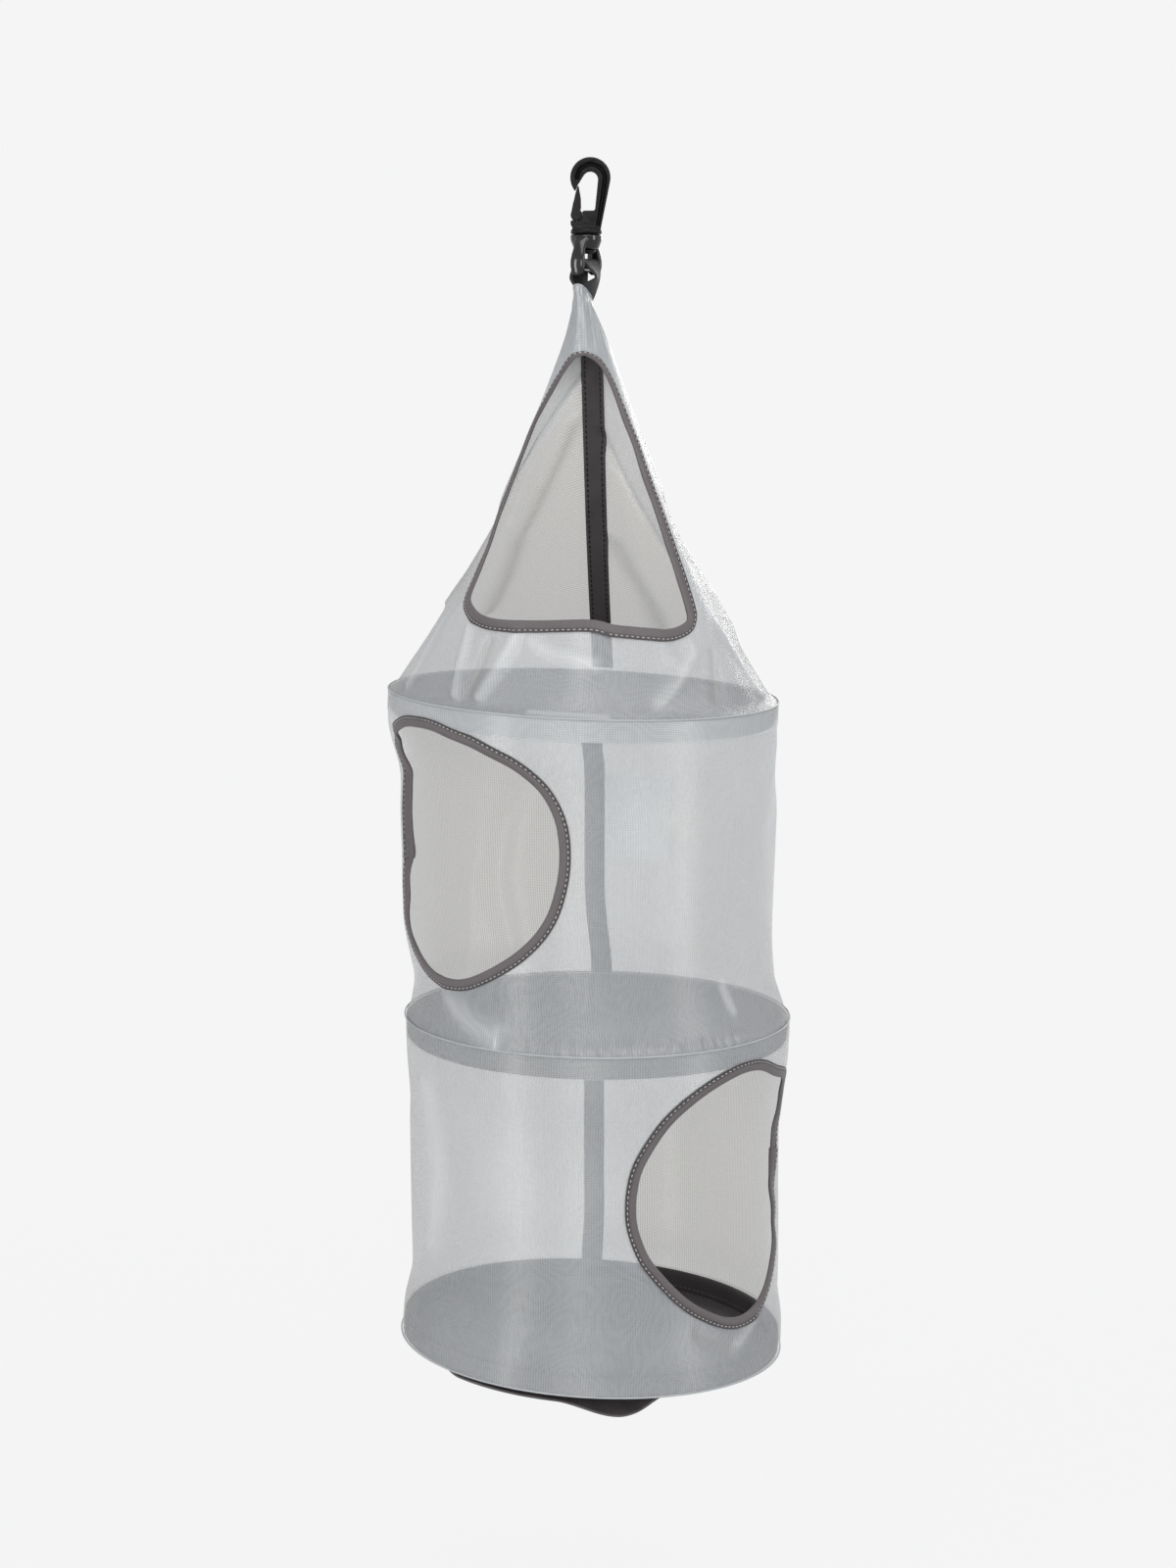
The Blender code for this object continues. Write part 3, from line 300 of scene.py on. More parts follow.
def woven(name, dark, light, pitches, roughness, depth):
    """Cloth with ribs at these pitches along its two ways, and a slow change of shade.

    The pitches and the ribs' depth are in millimetres.
    """
    made, tree, shader = new_finish(name, light, roughness, specular=0.3)
    warp = cloth_lines(tree, 0, pitches[0])
    weft = cloth_lines(tree, 1, pitches[1])
    weave = scaled(tree, scaled(tree, warp, weft), 0.25, 0.5)
    weave = scaled(tree, weft, 0.2, weave)
    worn = blotches(tree, 14 * MM, 4)
    shade = scaled(tree, calculate(tree, "SUBTRACT", worn, 0.5), 0.9, weave)
    tint(tree, shader, shade, dark, light, 0.1, 0.95)
    relief(tree, shader, weave, depth * MM)
    return made


def stitches(name, rows, size, finish):
    """Rows of thread stitches as one piece.

    Each row is a line of points, and which way the cloth faces at them. size is the pitch, length
    and width of the stitches in millimetres.
    """
    pitch, length, width = (k * MM for k in size)
    shape = [(-0.5, 0, 0)]
    for station, girth in ((-0.4, 0.7), (0, 1), (0.4, 0.7)):
        shape += [(station, girth * cos(a), girth * sin(a)) for a in np.arange(6) * tau / 6]
    grow = (np.array([*shape, (0.5, 0, 0)]) * (length, width / 2, width / 2))[None]
    points = []
    for line, facing in rows:
        reach = lengths(line)
        count = max(2, int(reach[-1] / pitch))
        middles = (np.arange(count) + 0.5) * reach[-1] / count
        centre = read_off(line, reach, middles)
        along = read_off(line, reach, middles + length / 2) - centre
        along /= np.maximum(np.linalg.norm(along, axis=1), 1e-9)[:, None]
        side = np.cross(read_off(facing, reach, middles), along)
        side /= np.maximum(np.linalg.norm(side, axis=1), 1e-9)[:, None]
        spots = centre[:, None] + along[:, None] * grow[..., :1] + side[:, None] * grow[..., 1:2]
        points.append(spots + np.cross(along, side)[:, None] * grow[..., 2:])
    points = np.concatenate(points)
    faces = [(0, 1 + (k + 1) % 6, 1 + k) for k in range(6)]
    faces += [(s + k, s + (k + 1) % 6, s + 6 + (k + 1) % 6, s + 6 + k) for s in (1, 7) for k in range(6)]
    faces += [(13 + k, 13 + (k + 1) % 6, 19) for k in range(6)]
    mesh = bpy.data.meshes.new(name)
    every = [tuple(20 * n + c for c in face) for n in range(len(points)) for face in faces]
    mesh.from_pydata(points.reshape(-1, 3).tolist(), [], every)
    mesh.materials.append(finish)
    mesh.shade_smooth()
    return add(name, mesh)


def outward(angle):
    """The level direction at this angle round a tier: 0 is the front, and it grows to the right."""
    return np.stack([np.sin(angle), -np.cos(angle), np.zeros_like(angle)], -1)


def mix(first, second, share):
    return first * (1 - share) + second * share


def loop_line(share):
    """The webbing's middle line seen along the bar. share is 0 at its near edge and 1 at its far one."""
    ride = BAR_RADIUS + TOUCH + WEBBING_THICKNESS / 2
    leg = (WEBBING_THICKNESS + TOUCH) / 2
    across = (share - 0.5) * WEBBING_WIDTH
    tail = TAIL_SHIFT - across * tan(TAIL_TWIST)
    meet = -LOOP_DROP - across * tan(TAIL_SLANT)
    left, right = mix(*LOOP_LEFT, share), mix(*LOOP_RIGHT, share)
    line = [(tail - leg, meet - TAIL_LENGTH), (tail - leg, meet)]
    line.append((tail - leg - 0.9 * MM, meet + 1.1 * MM))
    line += [(mix(tail - leg, -left, 0.7), meet * 0.72), (-left, -0.36 * LOOP_DROP)]
    turns = np.radians(np.linspace(190, mix(30, -10, share), 10))
    line += [(ride * cos(a), ride * sin(a)) for a in turns]
    line += [(right, -0.36 * LOOP_DROP), (mix(tail + leg, right, 0.55), meet * 0.7)]
    line.append((tail + leg + 0.9 * MM, meet + 1.1 * MM))
    line += [(tail + leg, meet), (tail + leg, meet - TAIL_LENGTH)]
    return evenly(rounded(line, 2), 110)


def from_bar(points):
    """Places given along the bar's own axes (across, along, up), as places of the whole."""
    x, y, z = np.moveaxis(points, -1, 0)
    turned_x = x * cos(BAR_TURN) + y * sin(BAR_TURN)
    turned_y = y * cos(BAR_TURN) - x * sin(BAR_TURN)
    return np.stack([swivel_x + turned_x, turned_y, bar_z + z], -1)


edge_to_edge = np.linspace(0, 1, 21)
webbing_grid = np.stack([loop_line(share) for share in edge_to_edge], 1)
along_bar = np.broadcast_to((edge_to_edge - 0.5) * WEBBING_WIDTH, webbing_grid.shape[:2])
webbing_grid = np.stack([webbing_grid[..., 0], along_bar, webbing_grid[..., 1]], -1)
black_webbing = woven(
    "black webbing", (0.006, 0.006, 0.007), (0.022, 0.022, 0.024), (1.6, 1.1), 0.7, 0.16,
)
webbing = thicken(cloth("webbing_loop", from_bar(webbing_grid), [black_webbing]), WEBBING_THICKNESS)
fit(webbing, "spire", "webbing", "hanger_loop")

black_thread = new_finish("black thread", (0.02, 0.02, 0.022), 0.6)[0]
for row, height in enumerate((0.9, 2.4, 3.9)):
    tack = from_bar(webbing_grid[-1, 1:-1] + (WEBBING_THICKNESS / 2, 0, height * MM))
    facing = np.broadcast_to(outward(radians(90) + BAR_TURN), tack.shape)
    tacked = stitches(f"webbing_tack_{row + 1}", [(tack, facing)], TACK_STITCH, black_thread)
    fit(tacked, "spire", "webbing")


# Spire: a cone of fine polyester mesh, gathered on the webbing at the top and sewn to the top
# floor's edge at its foot. The mesh is knitted in upright ribs, lets about half of the light
# through, and has soft folds that run down from the window's corners.
SPIRE_HEIGHT = 205.7 * MM
APEX_DROP = 13.8 * MM  # from the bar's centre
SEWN_RADIUS = 98.3 * MM
SEAM_FLARE = 1.9 * MM  # how far the foot turns out to meet the wall below
NECK_EASE = 2.1 * MM
NECK_SHARE = 0.02
NECK_FULLNESS = 0.71
NECK_PLEATS = 0.28 * MM
SPIRE_WAVES = 1.5 * MM
WALL_COLUMNS = 420
SPIRE_SEAM = radians(174.5)
SPIRE_TRAVEL = 171.6 * MM  # how far the foot rises when folded: its ring's travel, and off the floor
SHELF_FACE = 0.78 * MM  # from a ring line up to the middle of the shelf there
SPIRE_FOOT_RISE = 1.4 * MM

# Folds as routes of (degrees round, millimetres down), with their width and how far they stand out
SPIRE_FOLDS = (
    ([(-50, 168), (-46, 184), (-42, 199)], 3.6, 2.6),
    ([(-37, 172), (-37, 186), (-38, 198)], 3.0, -1.6),
    ([(-27, 168), (-30, 184), (-33, 199)], 3.4, 2.4),
    ([(-20, 170), (-10, 176), (4, 180)], 3.4, 1.2),
    ([(44, 176), (34, 187), (24, 198)], 3.6, 2.2),
    ([(54, 178), (50, 188), (46, 198)], 3.0, -1.4),
    ([(66, 166), (70, 182), (74, 199)], 3.4, 1.8),
    ([(-84, 158), (-76, 180), (-70, 199)], 3.4, 1.8),
    ([(-175, 42), (-117, 92), (-110, 118), (-102, 160)], 2.4, 2.8),
    ([(-168, 66), (-150, 98), (-140, 128), (-138, 170)], 3.0, -2.0),
    ([(165, 72), (145, 103), (136, 122), (124, 155)], 2.4, 2.8),
    ([(165, 130), (150, 165), (146, 195)], 4.0, 1.6),
    ([(-16, 203.6), (7, 204.2)], 1.0, 1.2),
)
# Where the wall is pulled in or stands out at its sides, in the same way
SPIRE_DENTS = (
    ([(-90, 124), (-86, 150)], 14.0, -4.5),
    ([(88, 112), (88, 130)], 10.0, -3.0),
    ([(88, 156), (92, 168)], 10.0, 2.6),
)
# Degrees round at its left and right between which the spire's mesh is painted lighter, at these millimetres down
SPIRE_LIT_SPAN = ((42, 92, 118, 160), (-175, -117, -110, -102), (178, 152, 138, 122))


def ease(low, high, value):
    share = np.clip((value - low) / (high - low), 0, 1)
    return share * share * (3 - 2 * share)


class Ring:
    """A hoop's ring line, found from the shelf that the hoop carries."""

    def __init__(self, shelf, face):
        mount = next(m for m in frame["record"]["mounts"] if m["name"] == shelf)
        axis = Vector(mount["axis"])
        self.tilt = atan2(axis.x, axis.z)
        self.centre = np.array(Vector(mount["pos_m"]) - axis.normalized() * face)

    def at(self, angle, radius, height):
        """Places at this angle, radius and height in the ring's own tilted frame."""
        x, y, _ = np.moveaxis(outward(angle) * radius, -1, 0)
        tilted_x = x * cos(self.tilt) + height * sin(self.tilt)
        z = height * cos(self.tilt) - x * sin(self.tilt)
        return self.centre + np.stack([tilted_x, y, z], -1)


def folded(x, y, folds, radius, lifts=True):
    """How far folds push the wall out, at distances x round it from the front and y down it.

    Without lifts each fold counts as 1 on its crest, or as -1 where it goes in.
    """
    out = np.zeros_like(x)
    for route, width, height in folds:
        points = [(radians(turn), down * MM) for turn, down in route]
        nearest = np.full(x.shape, 1.0)
        for (turn_a, ya), (turn_b, yb) in zip(points, points[1:]):
            xa, xb = turn_a * radius(ya), turn_b * radius(yb)
            dx, dy = xb - xa, yb - ya
            share = np.clip(((x - xa) * dx + (y - ya) * dy) / (dx * dx + dy * dy), 0, 1)
            nearest = np.minimum(nearest, np.hypot(x - xa - share * dx, y - ya - share * dy))
        out += (height * MM if lifts else np.sign(height)) * np.exp(-((nearest / (width * MM)) ** 2))
    return out


def from_front(angle):
    """The same angle, between half a turn to the left and half a turn to the right."""
    return (angle + pi) % tau - pi


class Spire:
    """The cone as places at (angle, drop from its top edge, distance out)."""

    body, joint = "spire", "top_collapse"
    folds, dents = SPIRE_FOLDS, SPIRE_DENTS
    height, travel, seam = SPIRE_HEIGHT, SPIRE_TRAVEL, SPIRE_SEAM
    top_z = bar_z - APEX_DROP
    foot = Ring("top_shelf", SHELF_FACE)
    neck_turn = BAR_TURN - TAIL_TWIST
    neck_sizes = (WEBBING_WIDTH / 2 + NECK_EASE, WEBBING_THICKNESS + TOUCH / 2 + NECK_EASE)

    def opening(self, share):
        freed = np.maximum(share - NECK_SHARE, 0) / (1 - NECK_SHARE)
        return NECK_FULLNESS * freed + (1 - NECK_FULLNESS) * freed**3

    def radius(self, drop):
        return mix(sum(self.neck_sizes) / 2, SEWN_RADIUS, self.opening(drop / self.height))

    def flat(self, angle, drop):
        """A point on the cone's flat pattern, a sector, in metres."""
        narrowing = SEWN_RADIUS / hypot(SEWN_RADIUS, SPIRE_HEIGHT)
        turn = (angle - self.seam + pi) * narrowing
        reach = self.radius(drop) / narrowing
        return np.stack([np.sin(turn) * reach, np.cos(turn) * reach], -1)

    def place(self, angle, drop, out=0.0):
        angle, drop = np.broadcast_arrays(angle, drop)
        share = drop / self.height
        opened = self.opening(share)
        far = np.cos(angle - pi + self.neck_turn)
        along, across = np.abs(far), np.abs(np.sin(angle + self.neck_turn))
        long, short = self.neck_sizes
        neck = ((along / long) ** 2.6 + (across / short) ** 2.6) ** (-1 / 2.6)
        foot_x, _, foot_z = self.foot.centre
        foot_z = foot_z + SPIRE_FOOT_RISE
        top_x = swivel_x + TAIL_SHIFT * ease(0.12, 0, share)
        dip = -np.sin(angle) * SEWN_RADIUS * sin(self.foot.tilt)
        z = mix(self.top_z, foot_z, share) + dip * opened**3
        z = z - neck * far * tan(TAIL_SLANT) * ease(0.2, 0, share)
        reach = self.radius(drop) + (neck - sum(self.neck_sizes) / 2) * (1 - opened) ** 4
        reach = reach + SEAM_FLARE * ease(0.985, 1, share)
        swell = ease(0.12, 0.6, share) * ease(1, 0.93, share)
        waves = 0.55 * np.sin(7 * angle + 0.6) + 0.45 * np.sin(11 * angle + 2.2)
        pleats = np.sin(19 * angle + 0.4) + 0.7 * np.sin(31 * angle + 1.9)
        reach = reach + NECK_PLEATS * pleats * ease(0.16, 0.06, share) * ease(0.012, 0.04, share)
        round_it = from_front(angle) * self.radius(drop)
        creases = folded(round_it, drop, self.folds + self.dents, self.radius)
        reach = reach + SPIRE_WAVES * swell * waves + creases * ease(1, 0.97, share) + out
        centre = np.stack([mix(top_x, foot_x, share), np.zeros_like(share), z], -1)
        return centre + outward(angle) * reach[..., None]


def stored(tree, name):
    """A number that the mesh keeps at its vertices."""
    reader = tree.nodes.new("ShaderNodeAttribute")
    reader.attribute_name = name
    return reader.outputs["Fac"]


MESH_COVER = 0.525  # the share of the light that the mesh stops

# Fine knitted mesh lets light through between its ribs, and less where it is gathered
grey_mesh, tree, shader = new_finish("grey mesh", (0.48, 0.5, 0.52), 0.26, specular=0.8)
ribs = cloth_lines(tree, 0, 1.3)
courses = cloth_lines(tree, 1, 0.85)
gathered = stored(tree, "gathered")
paler = stored(tree, "paler")
ripple = calculate(tree, "SINE", scaled(tree, blotches(tree, 45 * MM, 1, "UV"), 150))
rippled = scaled(tree, paler, blotches(tree, 130 * MM, 0))
cover = scaled(tree, ribs, 0.06, MESH_COVER)
cover = scaled(tree, courses, 0.04, cover)
cover = scaled(tree, scaled(tree, ripple, rippled), 0.03, cover)
tree.links.new(scaled(tree, gathered, 0.38, cover), shader.inputs["Alpha"])
drift = scaled(tree, blotches(tree, 60 * MM, 2), 0.2)
# Painted light and shade: the tone is lighter and cooler at the front and darker and warmer at the back.
shade = scaled(tree, paler, 0.6, drift)
painted_tone = tint(tree, shader, shade, (0.285, 0.265, 0.22), (0.41, 0.43, 0.455), 0.08, 0.7)
# The ramp's top is a painted highlight on fold crests.
painted_tone.node.color_ramp.elements.new(1.0).color = (0.66, 0.68, 0.7, 1)
# Painted shade: the colour is darker where the mesh is gathered at the neck or creased in folds.
gathered_shade = tree.nodes.new("ShaderNodeVectorMath")
gathered_shade.operation = "SCALE"
tree.links.new(painted_tone, gathered_shade.inputs[0])
tree.links.new(scaled(tree, gathered, -0.3, 1.0), gathered_shade.inputs["Scale"])
tree.links.new(gathered_shade.outputs[0], shader.inputs["Base Color"])
relief(tree, shader, courses, 0.05 * MM)


def traced(points):
    """A closed smooth line through points in millimetres, in 300 even steps."""
    spots = np.array(points) * MM
    step = np.linspace(0, 1, 24, endpoint=False)[:, None]
    line = []
    for k in range(len(spots)):
        a, b, c, d = (spots[(k + n) % len(spots)] for n in (-1, 0, 1, 2))
        bend = 2 * a - 5 * b + 4 * c - d + step * (3 * (b - c) + d - a)
        line.append(b + step / 2 * (c - a + step * bend))
    line = np.concatenate(line)
    return evenly(np.concatenate([line, line[:1]]), 301)


def set_off(line, distance):
    """A closed outline set off outwards, by one distance or by one for each point."""
    around = np.concatenate([line[-2:-1], line, line[1:2]])
    along = around[2:] - around[:-2]
    across = np.stack([-along[:, 1], along[:, 0]], -1)
    return line + across / np.linalg.norm(across, axis=1)[:, None] * np.reshape(distance, (-1, 1))


def encloses(outline, x, y):
    """Which of these points lie inside a closed outline."""
    odd = np.zeros(x.shape, bool)
    for (xa, ya), (xb, yb) in zip(outline, outline[1:]):
        if ya != yb:
            odd ^= ((ya > y) != (yb > y)) & (x < xa + (xb - xa) * (y - ya) / (yb - ya))
    return odd


def wall_marks(tier, angle, drop, places):
    """How dense a wall is at each place, and its painted light: lighter at its front, painted shade at its back.
    """
    neck = ease(Spire.top_z - 58 * MM, Spire.top_z - 18 * MM, places[..., 2])
    turned = from_front(angle)
    creased = folded(turned * tier.radius(drop), drop, tier.folds, tier.radius, lifts=False)
    # pale paints light on the front of the wall and shade on its back.
    pale = ease(2.2, 1.15, np.abs(turned))
    if tier is spire:
        down, left, right = SPIRE_LIT_SPAN
        left, right = (np.radians(np.interp(drop / MM, down, side)) for side in (left, right))
        # Between these angles the painted light is raised, and the mesh is made denser at its sides.
        lit_span = ease(left - 0.07, left + 0.07, turned)
        lit_span = lit_span * ease(right + 0.07, right - 0.07, turned)
        pale = np.maximum(pale, 0.6 * lit_span)
        neck = neck + 0.2 * lit_span * ease(1.0, 1.5, np.abs(turned))
    else:
        creased = creased * ease(2.0, 1.4, np.abs(turned))
    dense = np.clip(neck + 0.3 * np.abs(creased), 0, 1)
    # Fold crests add a painted highlight, and fold hollows add painted shade.
    return [("gathered", dense), ("paler", pale + 0.28 * creased)]


def make_wall(name, tier, rows, window, window_angle, tape_width):
    """A wall of mesh on its tier, with its window cut out under the tape that binds it."""
    angle = tier.seam + tau * np.arange(WALL_COLUMNS + 1) / WALL_COLUMNS - tau
    angle, drop = np.meshgrid(angle, rows)
    x = (angle - window_angle) * tier.radius(drop)
    hole = set_off(window, -tape_width / 2)
    cells = [(v[:-1, :-1] + v[1:, 1:]) / 2 for v in (x, drop)]
    keep = ~encloses(hole, *cells)
    kept = np.zeros(x.shape, int)  # how many of the four cells round each place stay
    for down in ((0, 1), (1, 0)):
        for side in ((0, 1), (1, 0)):
            kept += np.pad(keep, (down, side), "edge")
    rim = (kept > 0) & (kept < 4)
    gaps = np.hypot(x[rim][:, None] - hole[None, :, 0], drop[rim][:, None] - hole[None, :, 1])
    nearest = hole[np.argmin(gaps, 1)]
    drop[rim] = nearest[:, 1]
    angle[rim] = window_angle + nearest[:, 0] / tier.radius(nearest[:, 1])
    places = tier.place(angle[:, :-1], drop[:, :-1])
    marks = wall_marks(tier, angle[:, :-1], drop[:, :-1], places)
    return cloth(name, places, [grey_mesh], wrap=True, uv=tier.flat(angle, drop), keep=keep, marks=marks)


def hang(piece, tier, slot, *nodes):
    """Lets a wall's piece ride with its tier in place of these nodes, on a mesh of its own."""
    fit(piece, tier.body, slot, *nodes)
    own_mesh(piece)


FRONT_WINDOW_ANGLE = radians(-9)
# The tape's outer edge, as (millimetres across from the window's angle, millimetres down)
FRONT_WINDOW = (
    (0.2, 29.8), (-4.2, 31.5), (-9.4, 36.5), (-25.2, 53.9), (-39.6, 69.6), (-51, 98), (-58.5, 122),
    (-64, 141), (-66.6, 151), (-65.2, 157), (-58.4, 162), (-48.4, 165.5), (-34.4, 167.1),
    (-13.1, 166.7), (13, 165.2), (25.1, 167.5), (43.7, 169.4), (57, 170.4), (67.4, 168.8),
    (73.6, 165.6), (75.6, 160.4), (74.2, 154), (67.3, 137.9), (59.3, 121.6), (51.5, 105.2),
    (43.7, 89.5), (37.6, 74.9), (31.7, 64), (21.4, 44.8), (12.4, 34), (4, 30),
)
# How wide the tape is at these depths below the window's top
TAPE_WIDENS = (np.array([0, 3, 30, 80, 110]) * MM, np.array([2.0, 2.8, 3.8, 4.8, 5.8]) * MM)

spire = Spire()
front_window = traced(FRONT_WINDOW)
front_tape = np.interp(front_window[:, 1] - front_window[:, 1].min(), *TAPE_WIDENS)
near_foot = SPIRE_HEIGHT - 8 * MM
spire_rows = np.linspace(0, near_foot, 86)[:-1]
spire_rows = np.concatenate([spire_rows, np.linspace(near_foot, SPIRE_HEIGHT, 8)])

# Window tape: grosgrain folded over the cut edge and sewn through with one row of grey thread.
# Its face has a satin shine, its inside is painted darker as painted shade, and its end laps over
# its start. The thread pulls a groove into it, and beside that it bulges. From its edge to just past
# the stitches it is painted darker, as painted shade in that groove.
TAPE_THICKNESS = 0.5 * MM
TAPE_LAP = 12 * MM
TAPE_NEAR = 0.65 * MM  # from the mesh to the middle of a leg
TAPE_ROW = 0.24  # how far in across the tape its stitches are
TAPE_ROW_RISE = 0.42 * MM
TAPE_LAP_RISE = 1.15 * TAPE_THICKNESS  # how far its lapped end stands over its start
WINDOW_STITCH = (2.8, 1.7, 0.6)


def grosgrain(name, edge, face):
    """Window tape with painted shade from its edge to just past the stitches, in the groove they pull."""
    made, tree, shader = new_finish(name, face, 0.45, specular=0.4)
    ribs = cloth_lines(tree, 0, 0.75)
    rubbed = scaled(tree, blotches(tree, 9 * MM, 3), 0.2)
    shade = scaled(tree, cloth_axis(tree, 1), 1 / (4 * MM), rubbed)
    shade = scaled(tree, ribs, 0.04, shade)
    # From the edge colour, which is painted shade, to the face colour.
    tint(tree, shader, shade, edge, face, 0.5, 0.78)
    relief(tree, shader, ribs, 0.05 * MM)
    return made


tape_face = grosgrain("tape face", (0.030, 0.026, 0.027), (0.086, 0.076, 0.081))
# The back is the same grosgrain painted darker, as painted shade.
shaded_tape_back = grosgrain("tape back", (0.028, 0.025, 0.026), (0.050, 0.045, 0.048))
grey_thread = new_finish("grey thread", (0.38, 0.35, 0.357), 0.5)[0]


def bind(name, tier, window, window_angle, tape_width, start_share):
    """Folded tape round a window, from start_share of the way round it, and its rows for stitches."""
    count = len(window) - 1
    begin = int(count * start_share)
    lapped = int(count * TAPE_LAP / lengths(window)[-1])
    order = np.arange(begin, begin + count + lapped) % count
    steps = np.arange(count + lapped)
    lap = TAPE_LAP_RISE * ease(count - 4, count + 4, steps)
    ripple = 0.12 * MM * np.sin(steps * 0.41) * np.sin(steps * 0.13)
    leg = tape_width - 1.2 * TAPE_NEAR - TAPE_THICKNESS / 2
    outer = [(0, 0.5), (0.02, 0.53), (0.12, 0.48), (TAPE_ROW, 0.42)]
    outer += [(0.45, 0.66), (0.7, 0.82), (0.9, 0.78)]
    section = [(leg * k, rise * MM) for k, rise in outer]
    for a in np.radians(np.linspace(90, 270, 9)):
        section.append((leg - 1.2 * TAPE_NEAR * cos(a), TAPE_NEAR * sin(a)))
    section += [(leg * k, -rise * MM) for k, rise in outer[::-1]]

    def beside(inward, order):
        spots = set_off(window, -inward)[order]
        return window_angle + spots[:, 0] / tier.radius(spots[:, 1]), spots[:, 1]

    tracks = []
    for inward, out in section:
        tracks.append(tier.place(*beside(inward, order), out + np.sign(out) * (lap + ripple * 0.6)))
    grid = np.stack(tracks, 0)
    part = np.zeros((len(section) - 1, grid.shape[1] - 1))
    # Cells from here on take the tape's back, its painted-shade copy.
    part[12:] = 1
    tape = thicken(cloth(name, grid, [tape_face, shaded_tape_back], part=part), TAPE_THICKNESS)
    rows = []
    lapped_over = TAPE_LAP_RISE * ease(lapped + 3, lapped - 3, np.arange(count))
    angle, drop = beside(leg * TAPE_ROW, order[:count])
    for side in (1, -1):
        out = side * (TAPE_ROW_RISE + TAPE_THICKNESS / 2 + 0.05 * MM + lapped_over)
        rows.append((tier.place(angle, drop, out), outward(angle) * side))
    return tape, rows


# Back seam: a dark woven tape inside the wall covers the joined edges of the mesh. Two rows of
# black thread go through tape and mesh.
SEAM_WIDTH = 11.3 * MM
SEAM_THICKNESS = 0.6 * MM
SEAM_INSIDE = 1.3 * MM  # from the mesh to the middle of the tape
SEAM_ROW = 3.85 * MM
SEAM_STITCH = (3, 2.1, 0.8)
seam_cloth = woven("seam tape", (0.044, 0.040, 0.042), (0.078, 0.071, 0.075), (0.9, 0.7), 0.75, 0.06)
dark_thread = new_finish("dark thread", (0.006, 0.0055, 0.006), 0.6, specular=0.2)[0]


def seam_tape(name, tier, start, end, shift=0.0):
    """Tape down a tier's seam, set aside by shift, and its rows of stitches."""
    drop = np.linspace(start, tier.height - end, 90)
    radius = np.maximum(tier.radius(drop), SEAM_WIDTH)
    tracks = []
    for across in np.linspace(-0.5, 0.5, 7):
        angle = tier.seam + (across * SEAM_WIDTH - shift) / radius
        tracks.append(tier.place(angle, drop, -SEAM_INSIDE + 0.15 * MM * cos(across * tau)))
    tape = thicken(cloth(name, np.stack(tracks, 1), [seam_cloth]), SEAM_THICKNESS)
    rows = []
    for across in (-SEAM_ROW, SEAM_ROW):
        angle = tier.seam + (across - shift) / radius
        for out in (-SEAM_INSIDE - SEAM_THICKNESS / 2 - 0.1 * MM, 0.15 * MM):
            rows.append((tier.place(angle, drop, out), outward(angle)))
    return tape, rows


def dress(name, tier, rows, window, window_angle, tape_width, start_share, seam):
    """A tier's wall, and its window tape, back seam and their stitches."""
    wall = make_wall(f"{name}_wall", tier, rows, window, window_angle, tape_width)
    hang(wall, tier, "mesh_cloth", f"{name}_mesh")
    tape, tape_rows = bind(f"{name}_window_tape", tier, window, window_angle, tape_width, start_share)
    hang(tape, tier, "window_tape", f"{name}_window_binding")
    thread = stitches(f"{name}_window_stitches", tape_rows, WINDOW_STITCH, grey_thread)
    hang(thread, tier, "window_tape")
    backing, seam_rows = seam_tape(f"{name}_seam", tier, *seam)
    hang(backing, tier, "dark_tape", f"{name}_seam_tape")
    seam_thread = stitches(f"{name}_seam_stitches", seam_rows, SEAM_STITCH, dark_thread)
    hang(seam_thread, tier, "dark_tape")
    return wall, [tape, thread, backing, seam_thread]


spire_wall, spire_trim = dress(
    "spire", spire, spire_rows, front_window, FRONT_WINDOW_ANGLE, front_tape, 0.53,
    seam=(30 * MM, 3 * MM, 1.5 * MM),
)

# Neck roll: the mesh's top edge is turned in and sewn round the webbing, which leaves a pale edge.
ROLL_RADIUS = 0.32 * MM
solid_mesh = woven("doubled mesh", (0.29, 0.305, 0.32), (0.39, 0.405, 0.42), (1.3, 0.85), 0.5, 0.1)


def roll(name, line, outs, finish):
    """A closed roll of cloth along a closed line of places."""
    up = np.array([0, 0, 1.6])
    tracks = []
    for a in np.radians(np.arange(0, 360, 45)):
        tracks.append(line + outs * (ROLL_RADIUS * cos(a)) + up * (ROLL_RADIUS * sin(a)))
    tracks = np.stack(tracks + tracks[:1], 0)
    piece = cloth(name, tracks, [finish], wrap=True)
    weld(piece, 0.001 * MM)
    bpy.ops.mesh.normals_make_consistent(inside=False)
    bpy.ops.object.mode_set(mode="OBJECT")
    return piece


all_round = tau * np.arange(160) / 160
neck_roll = roll("neck_roll", spire.place(all_round, 0.4 * MM, 0.1 * MM), outward(all_round), solid_mesh)
hang(neck_roll, spire, "mesh_cloth")


# Rings: at each shelf a spring wire hoop runs in a channel of dark tape, which is sewn to a round
# floor of dark cloth with a turned hem. The walls above and below are sewn on at the floor's edge,
# where their doubled cloth stands out as a thin pale ridge.
HOOP_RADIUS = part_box("top_hoop")[1].y - 1.2 * MM
CHANNEL_HEIGHT = 10 * MM
CHANNEL_HALF = 2.3 * MM + TAPE_THICKNESS / 2
FLOOR_RADIUS = 99.6 * MM
FLOOR_HEM = 9 * MM
FLOOR_HEM_RISE = 0.25 * MM
FLOOR_THICKNESS = 0.6 * MM
RIDGE_RADIUS = 100.9 * MM
RIDGE_RISE = 1.6 * MM
FLOOR_RISE = 0.7 * MM  # from a ring line up to the middle of the floor's cloth
BOTTOM_FLOOR_RISE = -0.4 * MM
BOTTOM_SHELF_FACE = -0.32 * MM
FLOOR_SLACK = 0.35 * MM
